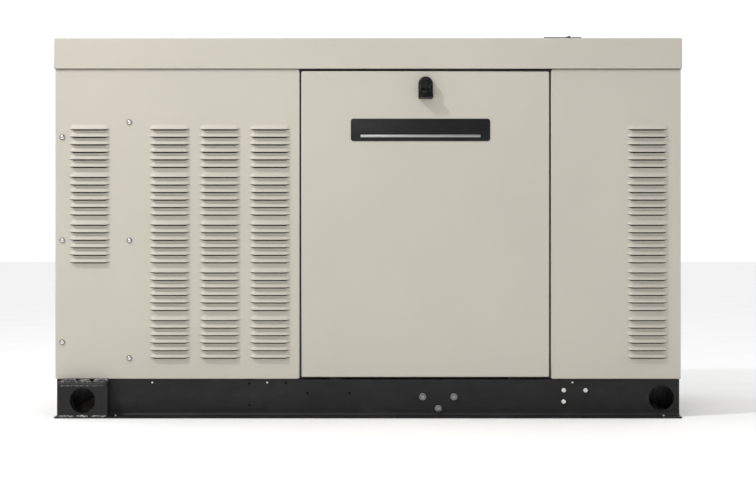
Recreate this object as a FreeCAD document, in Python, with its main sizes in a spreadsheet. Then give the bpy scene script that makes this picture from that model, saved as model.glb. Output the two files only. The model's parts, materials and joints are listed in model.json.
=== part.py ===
import FreeCAD, Part

import os
import re

import Sketcher

# Home standby generator: a liquid-cooled engine and alternator on a black steel base, inside a
# powder-coated sheet-metal enclosure with a lift-off front service door.
# Millimetres. +X runs along the length to the radiator end, -Y is the service side, +Z is up.
# The origin is on the ground under the middle of the base.

Vector = FreeCAD.Vector
Rotation = FreeCAD.Rotation

FRONT = -1
REAR = 1

SIZES = {
    # Base rails: a web with a top flange turned in and a bottom flange turned out.
    "base_half": 975.5,
    "base_top": 118,
    "rail_wall": 5,
    "web_face": 377.5,
    "foot_edge": 425.5,
    "rail_shelf": 55,
    "anchor_x": 600,
    "anchor_y": 403,
    "anchor_hole": 8,
    "lift_hole": 39.5,
    "lift_left_x": -887,
    "lift_left_z": 56,
    "lift_right_x": 919,
    "lift_right_z": 59,
    "bracket_left": -966,
    "bracket_right": -810,
    "bracket_face": 424,
    "bracket_top": 113,
    "bracket_wall": 4,
    "beam_half": 40,
    "beam_low": 20,
    "beam_top": 80,
    "beam_wall": 4,
    "rear_beam_x": -560,
    "engine_beam_x": 250,
    "radiator_beam_x": 622,
    "muffler_beam_x": 800,
    # Fasteners.
    "screw_head": 7,
    "screw_head_high": 4,
    "screw_shank": 3,
    "screw_hole": 3.25,
    "bolt_head": 9.25,
    "bolt_head_high": 7,
    "bolt_shank": 6,
    "bolt_hole": 6.25,
    "bolt_washer": 11,
    "panel_screw_head": 9,
    "panel_screw_high": 5,
    # Enclosure.
    "body_half": 979.5,
    "panel_face": 381,
    "sheet": 2,
    "panel_low": 119,
    "panel_high": 1090,
    "return_depth": 25,
    "shelf_depth": 20,
    "end_flange": 40,
    "end_gap": 0.2,
    "door_gap_left": -214.6,
    "door_gap_right": 573,
    "corner_screw_x": -958,
    "brace_screw_x": -748,
    "brace_half": 17,
    "brace_depth": 34,
    "brace_foot": 122,
    "brace_head": 1087,
    "post_face": 355,
    "post_depth": 40,
    "post_left": -240,
    "post_right": 540,
    "post_wide": 60,
    "post_top": 1056,
    "post_wall": 3,
    "header_top": 1184.5,
    "header_shelf": 55,
    # Louvres: pressed hoods in rows, groups and columns.
    "louvre_wide": 127,
    "louvre_high": 13,
    "louvre_out": 11,
    "louvre_end": 9,
    "louvre_lip": 1.5,
    "louvre_skin": 1.5,
    "louvre_slit": 2.5,
    "louvre_pitch": 23.5,
    "group_pitch": 149.3,
    "column_pitch": 157,
    "louvre_first": 187,
    "left_column": -872,
    "left_bank": -621,
    "right_column": 876,
    "end_bank": -235,
    "end_pitch": 235,
    # Roof.
    "roof_half": 983,
    "roof_face": 386.5,
    "roof_skirt": 1091,
    "roof_top": 1187,
    "filler_x": 622,
    "filler_y": -312,
    "hatch_left": 570,
    "hatch_right": 655,
    "hatch_front": -362,
    "hatch_rear": -268,
    "flap_left": 552,
    "flap_right": 668,
    "flap_front": -376,
    "flap_rear": -256,
    "flap_lift": 0.4,
    "flap_thick": 3,
    "flap_pin_y": -250,
    "flap_pin_z": 1192,
    "flap_pin": 2,
    "flap_pin_bore": 2.05,
    "flap_knuckle": 4,
    "flap_knuckle_gap": 0.4,
    "finger_left": 616,
    "finger_right": 634,
    "finger_high": 8,
    # Front door.
    "door_left": -209.3,
    "door_right": 567.4,
    "door_low": 125,
    "door_high": 1083.3,
    "door_face": 383,
    "door_skin": 1.5,
    "door_back": 361,
    "seal_face": 360.7,
    "seal_wide": 18,
    "liner_back": 369,
    "liner_margin": 20,
    "hook_a": -100,
    "hook_b": 460,
    "hook_half": 20,
    "hook_face": 371.5,
    "hook_thick": 3,
    "hook_low": 106,
    "slot_front": 375,
    "slot_rear": 361.7,
    "slot_side": 3,
    "badge_left": -54,
    "badge_right": 382,
    "badge_low": 864,
    "badge_high": 934,
    "badge_thick": 2,
    "badge_corner": 8,
    # Latch.
    "latch_x": 180,
    "latch_z": 1043,
    "latch_half": 21.25,
    "latch_low": 996,
    "latch_plate": 9,
    "latch_shaft": 7,
    "latch_bore": 7.05,
    "cam_near": 346.5,
    "cam_far": 349.5,
    "cam_reach": 36,
    "cam_half": 9,
    "boss_radius": 18,
    "boss_out": 26,
    "lever_half": 19,
    "lever_low": 998,
    "lever_out": 33,
    "lever_gap": 1,
    "lever_pin_z": 1019,
    "lever_pin_out": 20,
    "lever_pin": 2.5,
    "lever_pin_bore": 2.55,
    "cover_radius": 9,
    "cover_thick": 2.5,
    "cover_pin_rise": 12,
    "cover_pin": 2,
    "cover_pin_bore": 2.05,
    # Engine.
    "crank_z": 330,
    "crank_shaft": 30,
    "crank_bore": 30.05,
    "block_left": -190,
    "block_right": 330,
    "block_half": 130,
    "block_low": 262,
    "deck_z": 560,
    "block_wall": 25,
    "cylinder_first": -100,
    "cylinder_pitch": 120,
    "cylinder_bore": 43,
    "crank_roof": 450,
    "crank_web": 55,
    "web_thick": 18,
    "engine_foot_half": 25,
    "foot_in": 95,
    "foot_out": 160,
    "mount_y": 125,
    "mount_radius": 30,
    "mount_top": 130,
    "head_half": 110,
    "head_top": 650,
    "cover_half": 70,
    "cover_top": 715,
    "cover_round": 22,
    "pan_left": -150,
    "pan_right": 200,
    "pan_half": 92,
    "pan_low": 170,
    "pan_round": 14,
    "plenum_y": 190,
    "plenum_z": 600,
    "plenum_radius": 35,
    "runner_half": 20,
    "log_y": 165,
    "log_radius": 28,
    "oil_filter_x": -30,
    "oil_filter_z": 400,
    "oil_filter_radius": 40,
    "oil_filter_out": 235,
    "dip_x": 80,
    "dip_y": -143,
    "dip_tube": 6,
    "dip_bore": 4.5,
    "dip_blade": 2.5,
    "dip_top": 730,
    "dip_low": 300,
    "dip_ring": 14,
    "fill_x": -100,
    "fill_neck": 20,
    "fill_bore": 14.05,
    "fill_plug": 14,
    "fill_cap": 24,
    # Fan drive.
    "fan_z": 520,
    "pulley_left": 345,
    "pulley_right": 375,
    "crank_pulley": 75,
    "fan_pulley": 62,
    "belt_gap": 0.3,
    "belt_thick": 4,
    "belt_inset": 4,
    "fan_shaft": 15,
    "fan_bore": 15.05,
    "fan_plane": 452,
    "fan_hub": 60,
    "fan_hub_half": 15,
    "fan_radius": 225,
    "blade_half": 34,
    "blade_thick": 3,
    "blade_pitch": 35,
    "blade_count": 7,
    # Alternator.
    "gen_left": -640,
    "gen_radius": 190,
    "gen_wall": 12,
    "bell_left": -285,
    "bell_radius": 205,
    "flywheel_left": -255,
    "flywheel_right": -215,
    "flywheel_radius": 150,
    "rotor_left": -585,
    "rotor_right": -345,
    "rotor_radius": 120,
    "gen_foot_half": 30,
    # Cooling pack.
    "core_left": 580,
    "core_right": 640,
    "core_front": -290,
    "core_rear": 250,
    "core_low": 150,
    "core_high": 1010,
    "tank_high": 1058,
    "neck_left": 604,
    "neck_front": -334,
    "neck_radius": 15,
    "neck_top": 1120,
    "cap_radius": 26,
    "cap_top": 1136,
    "baffle_x": 566,
    "baffle_half": 312,
    "baffle_low": 82,
    "baffle_high": 1050,
    "window_half": 240,
    "shroud_left": 505,
    "shroud_ring": 238,
    "shroud_wall": 3,
    "hose_radius": 18,
    "upper_hose_y": 80,
    "upper_hose_z": 850,
    "head_port_z": 620,
    "lower_hose_y": 112,
    "lower_hose_z": 210,
    "block_port_z": 300,
    "hose_bend_x": 400,
    # Exhaust.
    "muffler_radius": 90,
    "muffler_half": 250,
    "muffler_z": 600,
    "pipe_radius": 20,
    "pipe_y": 288,
    "pipe_x": 200,
    "pipe_clear": 22,
    "tail_y": 150,
    "tail_right": 955,
    # Air and fuel.
    "cleaner_left": 195,
    "cleaner_right": 400,
    "cleaner_z": 825,
    "cleaner_radius": 80,
    "duct_x": 250,
    "duct_radius": 30,
    "regulator_x": -320,
    "regulator_half": 55,
    "regulator_near": 215,
    "regulator_far": 300,
    "regulator_low": 390,
    "regulator_high": 500,
    "fuel_pipe": 17,
    "fuel_pipe_y": 255,
    "fuel_pipe_z": 60,
    "fuel_bore": 13,
    "fuel_depth": 25,
    "fuel_hex": 24,
    "fuel_hose": 9,
    "fuel_hose_z": 690,
    # Battery and controls.
    "tray_left": -170,
    "tray_right": 100,
    "tray_front": -345,
    "tray_rear": -165,
    "tray_thick": 3,
    "tray_lip": 22,
    "battery_margin": 8,
    "battery_top": 322,
    "terminal_radius": 9,
    "box_left": -170,
    "box_right": 80,
    "box_face": 345,
    "box_back": 195,
    "box_low": 780,
    "box_high": 1020,
    "hanger_half": 15,
    "hanger_thick": 4,
    "display_left": -155,
    "display_right": -45,
    "display_low": 900,
    "display_high": 1000,
    "display_out": 3,
    "switch_x": 0,
    "switch_z": 960,
    "switch_radius": 15,
    "switch_out": 14,
    "stop_x": 0,
    "stop_z": 870,
    "stop_head": 18,
    "stop_out": 15,
    "stop_stem": 8,
    "stop_bore": 8.3,
    "stop_travel": 6,
    "breaker_right": 175,
    "breaker_back": 250,
    "breaker_low": 800,
    "breaker_high": 1000,
    "toggle_z": 900,
    "toggle_half": 9,
    "toggle_drum": 12,
    "toggle_out": 17,
}

doc = FreeCAD.newDocument("standby_generator")
sheet = doc.addObject("Spreadsheet::Sheet", "Sizes")
for row, (alias, value) in enumerate(SIZES.items(), start=1):
    sheet.set(f"A{row}", alias)
    sheet.set(f"B{row}", str(value))
    sheet.setAlias(f"B{row}", alias)
doc.recompute()


def with_sheet(text):
    """Put the sheet's name before every alias in an expression."""
    return re.sub(r"[a-z]\w*", lambda word: "Sizes." + word[0] if word[0] in SIZES else word[0], str(text))


def bind(item, prop, text):
    item.setExpression(prop, with_sheet(text))


def number(text):
    """The value of an expression in the sheet's aliases."""
    return sheet.evalExpression(with_sheet(text))


def extent(span):
    return f"({span[1]}) - ({span[0]})"


def about(centre, half):
    """The span of a given half width either side of a centre."""
    return (f"{centre} - ({half})", f"{centre} + ({half})")


def outward(side, near, far):
    """The Y span from near to far, measured outward on the front or the rear."""
    if side == FRONT:
        return (f"-({far})", f"-({near})")
    return (near, far)


# Each axis: the turn that lays a Z cylinder along it, and where centre and start go in X, Y, Z.
TURNS = {
    "X": Rotation(Vector(0, 1, 0), 90),
    "Y": Rotation(Vector(1, 0, 0), -90),
    "Z": Rotation(),
}
# Each extrusion axis: its origin plane, and whether the plane faces down that axis.
PLANES = {"X": ("YZ_Plane", 1), "Y": ("XZ_Plane", -1), "Z": ("XY_Plane", 1)}


def spot(axis, centre, start):
    u, v = centre
    return {"X": (start, u, v), "Y": (u, start, v), "Z": (u, v, start)}[axis]


class Piece:
    """One sub-part: a PartDesign body built from features bound to the sheet."""

    made = []

    def __init__(self, label):
        self.body = doc.addObject("PartDesign::Body", label)
        self.body.Label = label
        self.body.AllowCompound = True
        Piece.made.append(self.body)

    def origin(self, role):
        return next(item for item in self.body.Origin.OriginFeatures if item.Role == role)

    def feature(self, shape, cut, sizes, base, turn=None):
        kind = ("Subtractive" if cut else "Additive") + shape
        item = self.body.newObject("PartDesign::" + kind, self.body.Label + "_" + shape.lower())
        item.Placement = FreeCAD.Placement(Vector(), turn or Rotation())
        for prop, text in sizes.items():
            bind(item, prop, text)
        for axis, text in zip("xyz", base):
            bind(item, "Placement.Base." + axis, text)
        return item

    def block(self, x, y, z, cut=False):
        sizes = {"Length": extent(x), "Width": extent(y), "Height": extent(z)}
        return self.feature("Box", cut, sizes, (x[0], y[0], z[0]))

    def rod(self, axis, centre, span, radius, cut=False):
        sizes = {"Radius": radius, "Height": extent(span)}
        return self.feature("Cylinder", cut, sizes, spot(axis, centre, span[0]), TURNS[axis])

    def ball(self, centre, radius):
        return self.feature("Sphere", False, {"Radius": radius}, centre)

    def prism(self, axis, points, span, cut=False):
        """A closed outline of straight lines, padded or pocketed along an axis."""
        plane, facing = PLANES[axis]
        sketch = self.body.newObject("Sketcher::SketchObject", self.body.Label + "_outline")
        sketch.AttachmentSupport = [(self.origin(plane), "")]
        sketch.MapMode = "FlatFace"
        start = span[0] if (facing > 0) != cut else span[1]
        bind(sketch, "AttachmentOffset.Base.z", start if facing > 0 else f"-({start})")
        count = len(points)
        for i in range(count):
            sketch.addGeometry(Part.LineSegment(Vector(i, i * i, 0), Vector(i + 1, (i + 1) ** 2, 0)), False)
        for i in range(count):
            sketch.addConstraint(Sketcher.Constraint("Coincident", i, 2, (i + 1) % count, 1))
        for i, point in enumerate(points):
            for kind, text in zip(("DistanceX", "DistanceY"), point):
                index = sketch.addConstraint(Sketcher.Constraint(kind, -1, 1, i, 1, 1.0))
                bind(sketch, f"Constraints[{index}]", text)
        kind = "PartDesign::Pocket" if cut else "PartDesign::Pad"
        item = self.body.newObject(kind, self.body.Label + "_prism")
        item.Profile = sketch
        bind(item, "Length", extent(span))
        return item

    def repeat(self, originals, steps):
        """Copy features along X or Z; each step is an axis, a pitch and a count."""
        many = self.body.newObject("PartDesign::MultiTransform", self.body.Label + "_grid")
        many.Originals = originals
        rows = []
        for axis, pitch, count in steps:
            row = self.body.newObject("PartDesign::LinearPattern", self.body.Label + "_row")
            row.Direction = (self.origin(axis + "_Axis"), [""])
            bind(row, "Length", f"{count - 1} * {pitch}")
            row.Occurrences = count
            rows.append(row)
        many.Transformations = rows
        self.body.Tip = many

    def spin(self, original, count):
        """Copy a feature round the body's own X axis."""
        ring = self.body.newObject("PartDesign::PolarPattern", self.body.Label + "_ring")
        ring.Originals = [original]
        ring.Axis = (self.origin("X_Axis"), [""])
        ring.Angle = 360
        bind(ring, "Occurrences", count)
        self.body.Tip = ring

    def soften(self, radius, wanted):
        """Round the edges that the given test accepts."""
        doc.recompute()
        base = self.body.Tip
        names = [f"Edge{n}" for n, edge in enumerate(base.Shape.Edges, start=1) if wanted(edge)]
        fillet = self.body.newObject("PartDesign::Fillet", self.body.Label + "_round")
        fillet.Base = (base, names)
        bind(fillet, "Radius", radius)


def along(axis):
    """A test for straight edges that run along X, Y or Z."""
    wanted = {"X": Vector(1, 0, 0), "Y": Vector(0, 1, 0), "Z": Vector(0, 0, 1)}[axis]

    def test(edge):
        if edge.Curve.TypeId != "Part::GeomLine":
            return False
        return abs(edge.Curve.Direction.dot(wanted)) > 0.999
    return test


# ---- Base -------------------------------------------------------------------------------------

# Small screws along the top of the front rail, and the two that hold down the bottom flange.
RAIL_SCREWS = [("-676", "108"), ("-316", "108"), ("640", "108")]
FLANGE_SCREWS = ["-787", "922"]
ZINC_BOLTS = [("613", "84"), ("681", "84"), ("612.5", "48")]
DARK_BOLTS = [("171", "63"), ("269", "63"), ("220", "26")]
SPARE_HOLES = [("-372", "36"), ("-372", "104"), ("-258", "106"), ("-190", "74"), ("-58", "74")]


def rail(label, side):
    piece = Piece(label)
    length = ("-base_half", "base_half")
    web = outward(side, "web_face - rail_wall", "web_face")
    inside = outward(side, "web_face - rail_shelf", "web_face")
    outside = outward(side, "web_face - rail_wall", "foot_edge")
    piece.block(length, web, ("0", "base_top"))
    piece.block(length, inside, ("base_top - rail_wall", "base_top"))
    piece.block(length, outside, ("0", "rail_wall"))
    for x, z in (("lift_left_x", "lift_left_z"), ("lift_right_x", "lift_right_z")):
        piece.rod("Y", (x, z), web, "lift_hole", cut=True)
    anchor_y = f"{side} * anchor_y"
    for x in ("-anchor_x", "anchor_x"):
        piece.rod("Z", (x, anchor_y), ("-1", "rail_wall + 1"), "anchor_hole", cut=True)
    if side == REAR:
        piece.rod("Y", ("regulator_x", "fuel_pipe_z"), web, "fuel_pipe + 1", cut=True)
        return
    for x, z in RAIL_SCREWS + SPARE_HOLES:
        piece.rod("Y", (x, z), web, "screw_hole", cut=True)
    for x, z in ZINC_BOLTS + DARK_BOLTS:
        piece.rod("Y", (x, z), web, "bolt_hole", cut=True)
    for x in FLANGE_SCREWS:
        piece.rod("Z", (x, anchor_y), ("-1", "rail_wall + 1"), "screw_hole", cut=True)
    slot = outward(side, "slot_rear", "slot_front")
    for x in ("hook_a", "hook_b"):
        wide = (f"{x} - hook_half - slot_side", f"{x} + hook_half + slot_side")
        piece.block(wide, slot, ("base_top - rail_wall - 1", "base_top + 1"), cut=True)


def crossmembers():
    """The two end plates and four inverted channels between the rails."""
    piece = Piece("crossmembers")
    across = ("rail_wall - web_face", "web_face - rail_wall")
    piece.block(("-base_half", "rail_wall - base_half"), across, ("0", "base_top - rail_wall"))
    piece.block(("base_half - rail_wall", "base_half"), across, ("0", "base_top - rail_wall"))
    for x in ("rear_beam_x", "engine_beam_x", "radiator_beam_x", "muffler_beam_x"):
        piece.block(about(x, "beam_half"), across, ("beam_low", "beam_top"))
    for x in ("rear_beam_x", "engine_beam_x", "radiator_beam_x", "muffler_beam_x"):
        hollow = (f"{x} - beam_half + beam_wall", f"{x} + beam_half - beam_wall")
        piece.block(hollow, across, ("beam_low - 1", "beam_top - beam_wall"), cut=True)


def lifting_brackets():
    piece = Piece("lifting_brackets")
    wide = ("bracket_left", "bracket_right")
    inner = ("bracket_left + bracket_wall", "bracket_right - bracket_wall")
    for side in (FRONT, REAR):
        piece.block(wide, outward(side, "web_face", "bracket_face"), ("rail_wall", "bracket_top"))
    for side in (FRONT, REAR):
        pocket = outward(side, "web_face - 1", "bracket_face - bracket_wall")
        piece.block(inner, pocket, ("rail_wall - 1", "bracket_top - bracket_wall"), cut=True)
        face = outward(side, "bracket_face - bracket_wall - 1", "bracket_face + 1")
        piece.rod("Y", ("lift_left_x", "lift_left_z"), face, "lift_hole", cut=True)


def fastener(piece, axis, centre, seat, head, high, shank, depth, sign):
    """A round head on a seat with its shank behind; sign is the way that the head stands out."""
    top = (seat, f"{seat} + {high}") if sign > 0 else (f"{seat} - {high}", seat)
    stem = (f"{seat} - {depth}", seat) if sign > 0 else (seat, f"{seat} + {depth}")
    piece.rod(axis, centre, top, head)
    piece.rod(axis, centre, stem, shank)


def rail_fasteners():
    zinc = Piece("rail_screws")
    for x, z in RAIL_SCREWS:
        fastener(
            zinc, "Y", (x, z), "-web_face", "screw_head", "screw_head_high", "screw_shank", "rail_wall", -1
        )
    for x in FLANGE_SCREWS:
        fastener(
            zinc, "Z", (x, "-anchor_y"), "rail_wall", "screw_head", "screw_head_high", "screw_shank", "4", 1
        )
    for x, z in ZINC_BOLTS:
        fastener(zinc, "Y", (x, z), "-web_face", "bolt_head", "bolt_head_high", "bolt_shank", "rail_wall", -1)
    dark = Piece("rail_bolts")
    for x, z in DARK_BOLTS:
        fastener(dark, "Y", (x, z), "-web_face", "bolt_washer", "3", "bolt_shank", "rail_wall", -1)
        dark.rod("Y", (x, z), ("-web_face - 9", "-web_face - 2"), "bolt_head - 1")


# ---- Enclosure --------------------------------------------------------------------------------

SIDES = {"front": 0, "right": 90, "rear": 180, "left": 270}
CORNER_SCREWS = ["876", "553", "234"]
BRACE_SCREWS = ["923", "553", "184"]


def face_side(piece, side):
    """Turn a panel drawn on the front round to its own side."""
    piece.body.Placement = FreeCAD.Placement(Vector(), Rotation(Vector(0, 0, 1), SIDES[side]))


def louvres(piece, x, z, columns, groups):
    """A bank of hoods pressed outward, open downward, from its lowest louvre at the left."""
    base = (f"{x} + louvre_wide / 2", "-panel_face", z)
    bank(piece, base, Rotation(Vector(0, 0, 1), 180), columns, groups, "column_pitch")


def inward_louvres(piece, x, z, columns, groups):
    """The same hoods pressed inward and open upward, so that the outer face stays flush."""
    base = (f"{x} + louvre_wide / 2", "-body_half", f"{z} + louvre_high")
    bank(piece, base, Rotation(Vector(0, 1, 0), 180), columns, groups, "end_pitch")


def bank(piece, base, turn, columns, groups, pitch):
    hood = {
        "Xmin": "0", "Xmax": "louvre_wide", "X2min": "louvre_end", "X2max": "louvre_wide - louvre_end",
        "Ymin": "0", "Ymax": "louvre_out",
        "Zmin": "0", "Zmax": "louvre_high", "Z2min": "0", "Z2max": "louvre_lip",
    }
    hollow = {
        "Xmin": "louvre_skin", "Xmax": "louvre_wide - louvre_skin",
        "X2min": "louvre_end", "X2max": "louvre_wide - louvre_end",
        "Ymin": "-sheet", "Ymax": "louvre_out - louvre_skin / 2",
        "Zmin": "-louvre_slit", "Zmax": "louvre_high - louvre_skin", "Z2min": "-louvre_slit", "Z2max": "0.2",
    }
    outer = piece.feature("Wedge", False, hood, base, turn)
    inner = piece.feature("Wedge", True, hollow, base, turn)
    steps = [("Z", "louvre_pitch", 6), ("Z", "group_pitch", groups), ("X", pitch, columns)]
    piece.repeat([outer, inner], [step for step in steps if step[2] > 1])


def sheet_panel(label, side, x, left_return, right_return):
    """A panel seen from its own side, with turned-in edges top and bottom and where asked."""
    piece = Piece(label)
    depth = ("sheet - panel_face", "return_depth - panel_face")
    shelf = ("sheet - panel_face", "shelf_depth - panel_face")
    inner = (f"({x[0]}) + end_flange", f"({x[1]}) - end_flange")
    piece.block(x, ("-panel_face", "sheet - panel_face"), ("panel_low", "panel_high"))
    piece.block(inner, shelf, ("panel_low", "panel_low + sheet"))
    piece.block(inner, shelf, ("panel_high - sheet", "panel_high"))
    if left_return:
        piece.block((x[0], f"({x[0]}) + sheet"), depth, ("panel_low", "panel_high"))
    if right_return:
        piece.block((f"({x[1]}) - sheet", x[1]), depth, ("panel_low", "panel_high"))
    face_side(piece, side)
    return piece


def screw_holes(piece, holes, low, high):
    for x, z in holes:
        piece.rod("Y", (x, z), (low, high), "screw_hole", cut=True)


def corner_holes(sign):
    return [(f"{sign} * corner_screw_x", z) for z in CORNER_SCREWS]


def brace_holes(sign):
    return [(f"{sign} * brace_screw_x", z) for z in BRACE_SCREWS]


def side_panels():
    skin = ("-panel_face - 1", "sheet - panel_face + 1")
    left = sheet_panel("front_left_panel", "front", ("-body_half", "door_gap_left"), False, True)
    screw_holes(left, corner_holes(1) + brace_holes(1), *skin)
    louvres(left, "left_column", "louvre_first + 2 * group_pitch", 1, 3)
    louvres(left, "left_bank", "louvre_first", 3, 5)
    right = sheet_panel("front_right_panel", "front", ("door_gap_right", "body_half"), True, False)
    louvres(right, "right_column", "louvre_first", 1, 5)
    rear_left = sheet_panel("rear_left_panel", "rear", ("-door_gap_left", "body_half"), True, False)
    screw_holes(rear_left, corner_holes(-1) + brace_holes(-1), *skin)
    louvres(rear_left, "-left_bank - 2 * column_pitch", "louvre_first", 3, 5)
    rear_right = sheet_panel("rear_right_panel", "rear", ("-body_half", "-door_gap_right"), False, True)
    louvres(rear_right, "-right_column", "louvre_first", 1, 5)
    sheet_panel("rear_access_panel", "rear", ("2 - door_gap_right", "-door_gap_left - 2"), True, True)


def end_panels():
    """The end panels close the gap between the long sides and carry their corner screws."""
    wide = "panel_face - sheet - end_gap"
    for label, side in (("left_end_panel", "left"), ("right_end_panel", "right")):
        piece = Piece(label)
        face = ("-body_half", "sheet - body_half")
        back = ("sheet - body_half", "end_flange - body_half")
        shelf = ("sheet - body_half", "shelf_depth - body_half")
        piece.block((f"-({wide})", wide), face, ("panel_low", "panel_high"))
        inner = ("panel_low + 2 * sheet", "panel_high - 2 * sheet")
        piece.block((f"-({wide})", f"sheet - ({wide})"), back, inner)
        piece.block((f"{wide} - sheet", wide), back, inner)
        narrow = (f"end_flange - ({wide})", f"{wide} - end_flange")
        piece.block(narrow, shelf, ("panel_low", "panel_low + sheet"))
        piece.block(narrow, shelf, ("panel_high - sheet", "panel_high"))
        for z in CORNER_SCREWS if side == "left" else []:
            across = ("-panel_face", "panel_face")
            piece.rod("X", ("corner_screw_x", z), across, "screw_hole", cut=True)
        inward_louvres(piece, "end_bank", "louvre_first", 3, 5)
        face_side(piece, side)


def panel_screws():
    piece = Piece("panel_screws")
    for x, heights in (("corner_screw_x", CORNER_SCREWS), ("brace_screw_x", BRACE_SCREWS)):
        for z in heights:
            for side in (FRONT, REAR):
                seat = f"{side} * panel_face"
                fastener(
                    piece, "Y", (x, z), seat, "panel_screw_head", "panel_screw_high", "screw_shank", "8", side
                )


def frame_posts():
    """Channels either side of the door openings, and the braces behind the intake louvres."""
    posts = Piece("frame_posts")
    for side in (FRONT, REAR):
        for left in ("post_left", "post_right"):
            wide = (left, f"{left} + post_wide")
            posts.block(wide, outward(side, "post_face - post_depth", "post_face"), ("base_top", "post_top"))
        depth = outward(side, "panel_face - sheet - brace_depth", "panel_face - sheet")
        posts.block(about("brace_screw_x", "brace_half"), depth, ("brace_foot", "brace_head"))
    for side in (FRONT, REAR):
        for left in ("post_left", "post_right"):
            hollow = (f"{left} + post_wall", f"{left} + post_wide - post_wall")
            depth = outward(side, "post_face - post_depth - 1", "post_face - post_wall")
            posts.block(hollow, depth, ("base_top - 1", "post_top + 1"), cut=True)
        depth = outward(side, "panel_face - sheet - brace_depth - 1", "panel_face - 2 * sheet")
        hollow = about("brace_screw_x", "brace_half - sheet")
        posts.block(hollow, depth, ("brace_foot - 1", "brace_head + 1"), cut=True)
        for z in BRACE_SCREWS:
            hole = outward(side, "panel_face - 3 * sheet", "panel_face")
            posts.rod("Y", ("brace_screw_x", z), hole, "screw_hole", cut=True)


def roof_headers():
    piece = Piece("roof_headers")
    length = ("post_left", "post_right + post_wide")
    for side in (FRONT, REAR):
        leg = outward(side, "post_face - post_wall", "post_face")
        piece.block(length, leg, ("post_top", "header_top"))
        shelf = outward(side, "post_face - header_shelf", "post_face")
        piece.block(length, shelf, ("header_top - post_wall", "header_top"))
    notch = outward(FRONT, "post_face - header_shelf - 1", "post_face + 1")
    piece.block(("hatch_left - 10", "hatch_right"), notch, ("header_top - 40", "header_top + 1"), cut=True)


def door_seal():
    piece = Piece("door_seal")
    depth = outward(FRONT, "post_face", "seal_face")
    wide = ("door_left + 6", "door_right - 6")
    tall = ("base_top + 1", "door_high - 6")
    piece.block(wide, depth, tall)
    hole_wide = (f"{wide[0]} + seal_wide", f"{wide[1]} - seal_wide")
    hole_tall = (f"{tall[0]} + seal_wide", f"{tall[1]} - seal_wide")
    piece.block(hole_wide, ("-seal_face - 1", "1 - post_face"), hole_tall, cut=True)


def roof():
    piece = Piece("roof")
    piece.block(("-roof_half", "roof_half"), ("-roof_face", "roof_face"), ("roof_skirt", "roof_top"))
    hollow_x = ("sheet - roof_half", "roof_half - sheet")
    hollow_y = ("sheet - roof_face", "roof_face - sheet")
    piece.block(hollow_x, hollow_y, ("roof_skirt - 1", "roof_top - sheet"), cut=True)
    hatch = (("hatch_left", "hatch_right"), ("hatch_front", "hatch_rear"))
    piece.block(*hatch, ("roof_top - sheet - 1", "roof_top + 1"), cut=True)


def roof_flap():
    """A hinged rain flap over the coolant filler, with a finger wedge at its front edge."""
    third = "(flap_right - flap_left) / 3"
    low = "roof_top + flap_lift"
    centre = ("flap_pin_y", "flap_pin_z")
    middle = (f"flap_left + {third} + flap_knuckle_gap", f"flap_right - {third} - flap_knuckle_gap")
    flap = Piece("roof_flap")
    flap.block(("flap_left", "flap_right"), ("flap_front", "flap_rear"), (low, f"{low} + flap_thick"))
    flap.block(middle, ("flap_rear - 2", "flap_pin_y"), (low, f"{low} + flap_thick"))
    flap.rod("X", centre, middle, "flap_knuckle")
    flap.rod("X", centre, middle, "flap_pin_bore", cut=True)
    wedge = [
        ("finger_left", f"{low} + flap_thick - 0.5"),
        ("finger_right", f"{low} + flap_thick - 0.5"),
        ("finger_right", f"{low} + finger_high"),
        ("finger_left + 6", f"{low} + flap_thick + 1"),
    ]
    flap.prism("Y", wedge, ("flap_front", "flap_front + 24"))
    hinge = Piece("roof_flap_hinge")
    outer = (("flap_left", f"flap_left + {third}"), (f"flap_right - {third}", "flap_right"))
    for span in outer:
        hinge.rod("X", centre, span, "flap_knuckle")
        hinge.block(span, ("flap_pin_y", "flap_pin_y + 24"), ("roof_top", "roof_top + 2"))
        hinge.block(span, ("flap_pin_y", "flap_pin_y + flap_knuckle"), ("roof_top", "flap_pin_z"))
    hinge.rod("X", centre, ("flap_left + 1", "flap_right - 1"), "flap_pin")


# ---- Door and latch ---------------------------------------------------------------------------


def front_door():
    piece = Piece("front_door")
    depth = outward(FRONT, "door_back", "door_face")
    piece.block(("door_left", "door_right"), depth, ("door_low", "door_high"))
    hollow_x = ("door_left + door_skin", "door_right - door_skin")
    hollow_z = ("door_low + door_skin", "door_high - door_skin")
    piece.block(hollow_x, ("door_skin - door_face", "1 - door_back"), hollow_z, cut=True)
    for x in ("hook_a", "hook_b"):
        hook = outward(FRONT, "hook_face - hook_thick", "hook_face")
        piece.block(about(x, "hook_half"), hook, ("hook_low", "door_low + door_skin"))
    skin = ("-door_face - 1", "door_skin - door_face + 1")
    piece.rod("Y", ("latch_x", "latch_z"), skin, "latch_shaft + 2", cut=True)


def door_liner():
    piece = Piece("door_liner")
    wide = ("door_left + 2 * liner_margin", "door_right - 2 * liner_margin")
    tall = ("door_low + liner_margin", "latch_low - 2 * liner_margin")
    piece.block(wide, ("door_skin - door_face", "-liner_back"), tall)
    piece.soften("3", along("Y"))


def door_badge():
    """A plain name plate: a rounded rectangle with a raised bar near its lower edge."""
    piece = Piece("door_badge")
    depth = outward(FRONT, "door_face", "door_face + badge_thick")
    piece.block(("badge_left", "badge_right"), depth, ("badge_low", "badge_high"))
    piece.soften("badge_corner", along("Y"))
    bar = outward(FRONT, "door_face + badge_thick", "door_face + 2 * badge_thick")
    piece.block(("badge_left + 30", "badge_right - 30"), bar, ("badge_low + 12", "badge_low + 20"))


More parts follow.
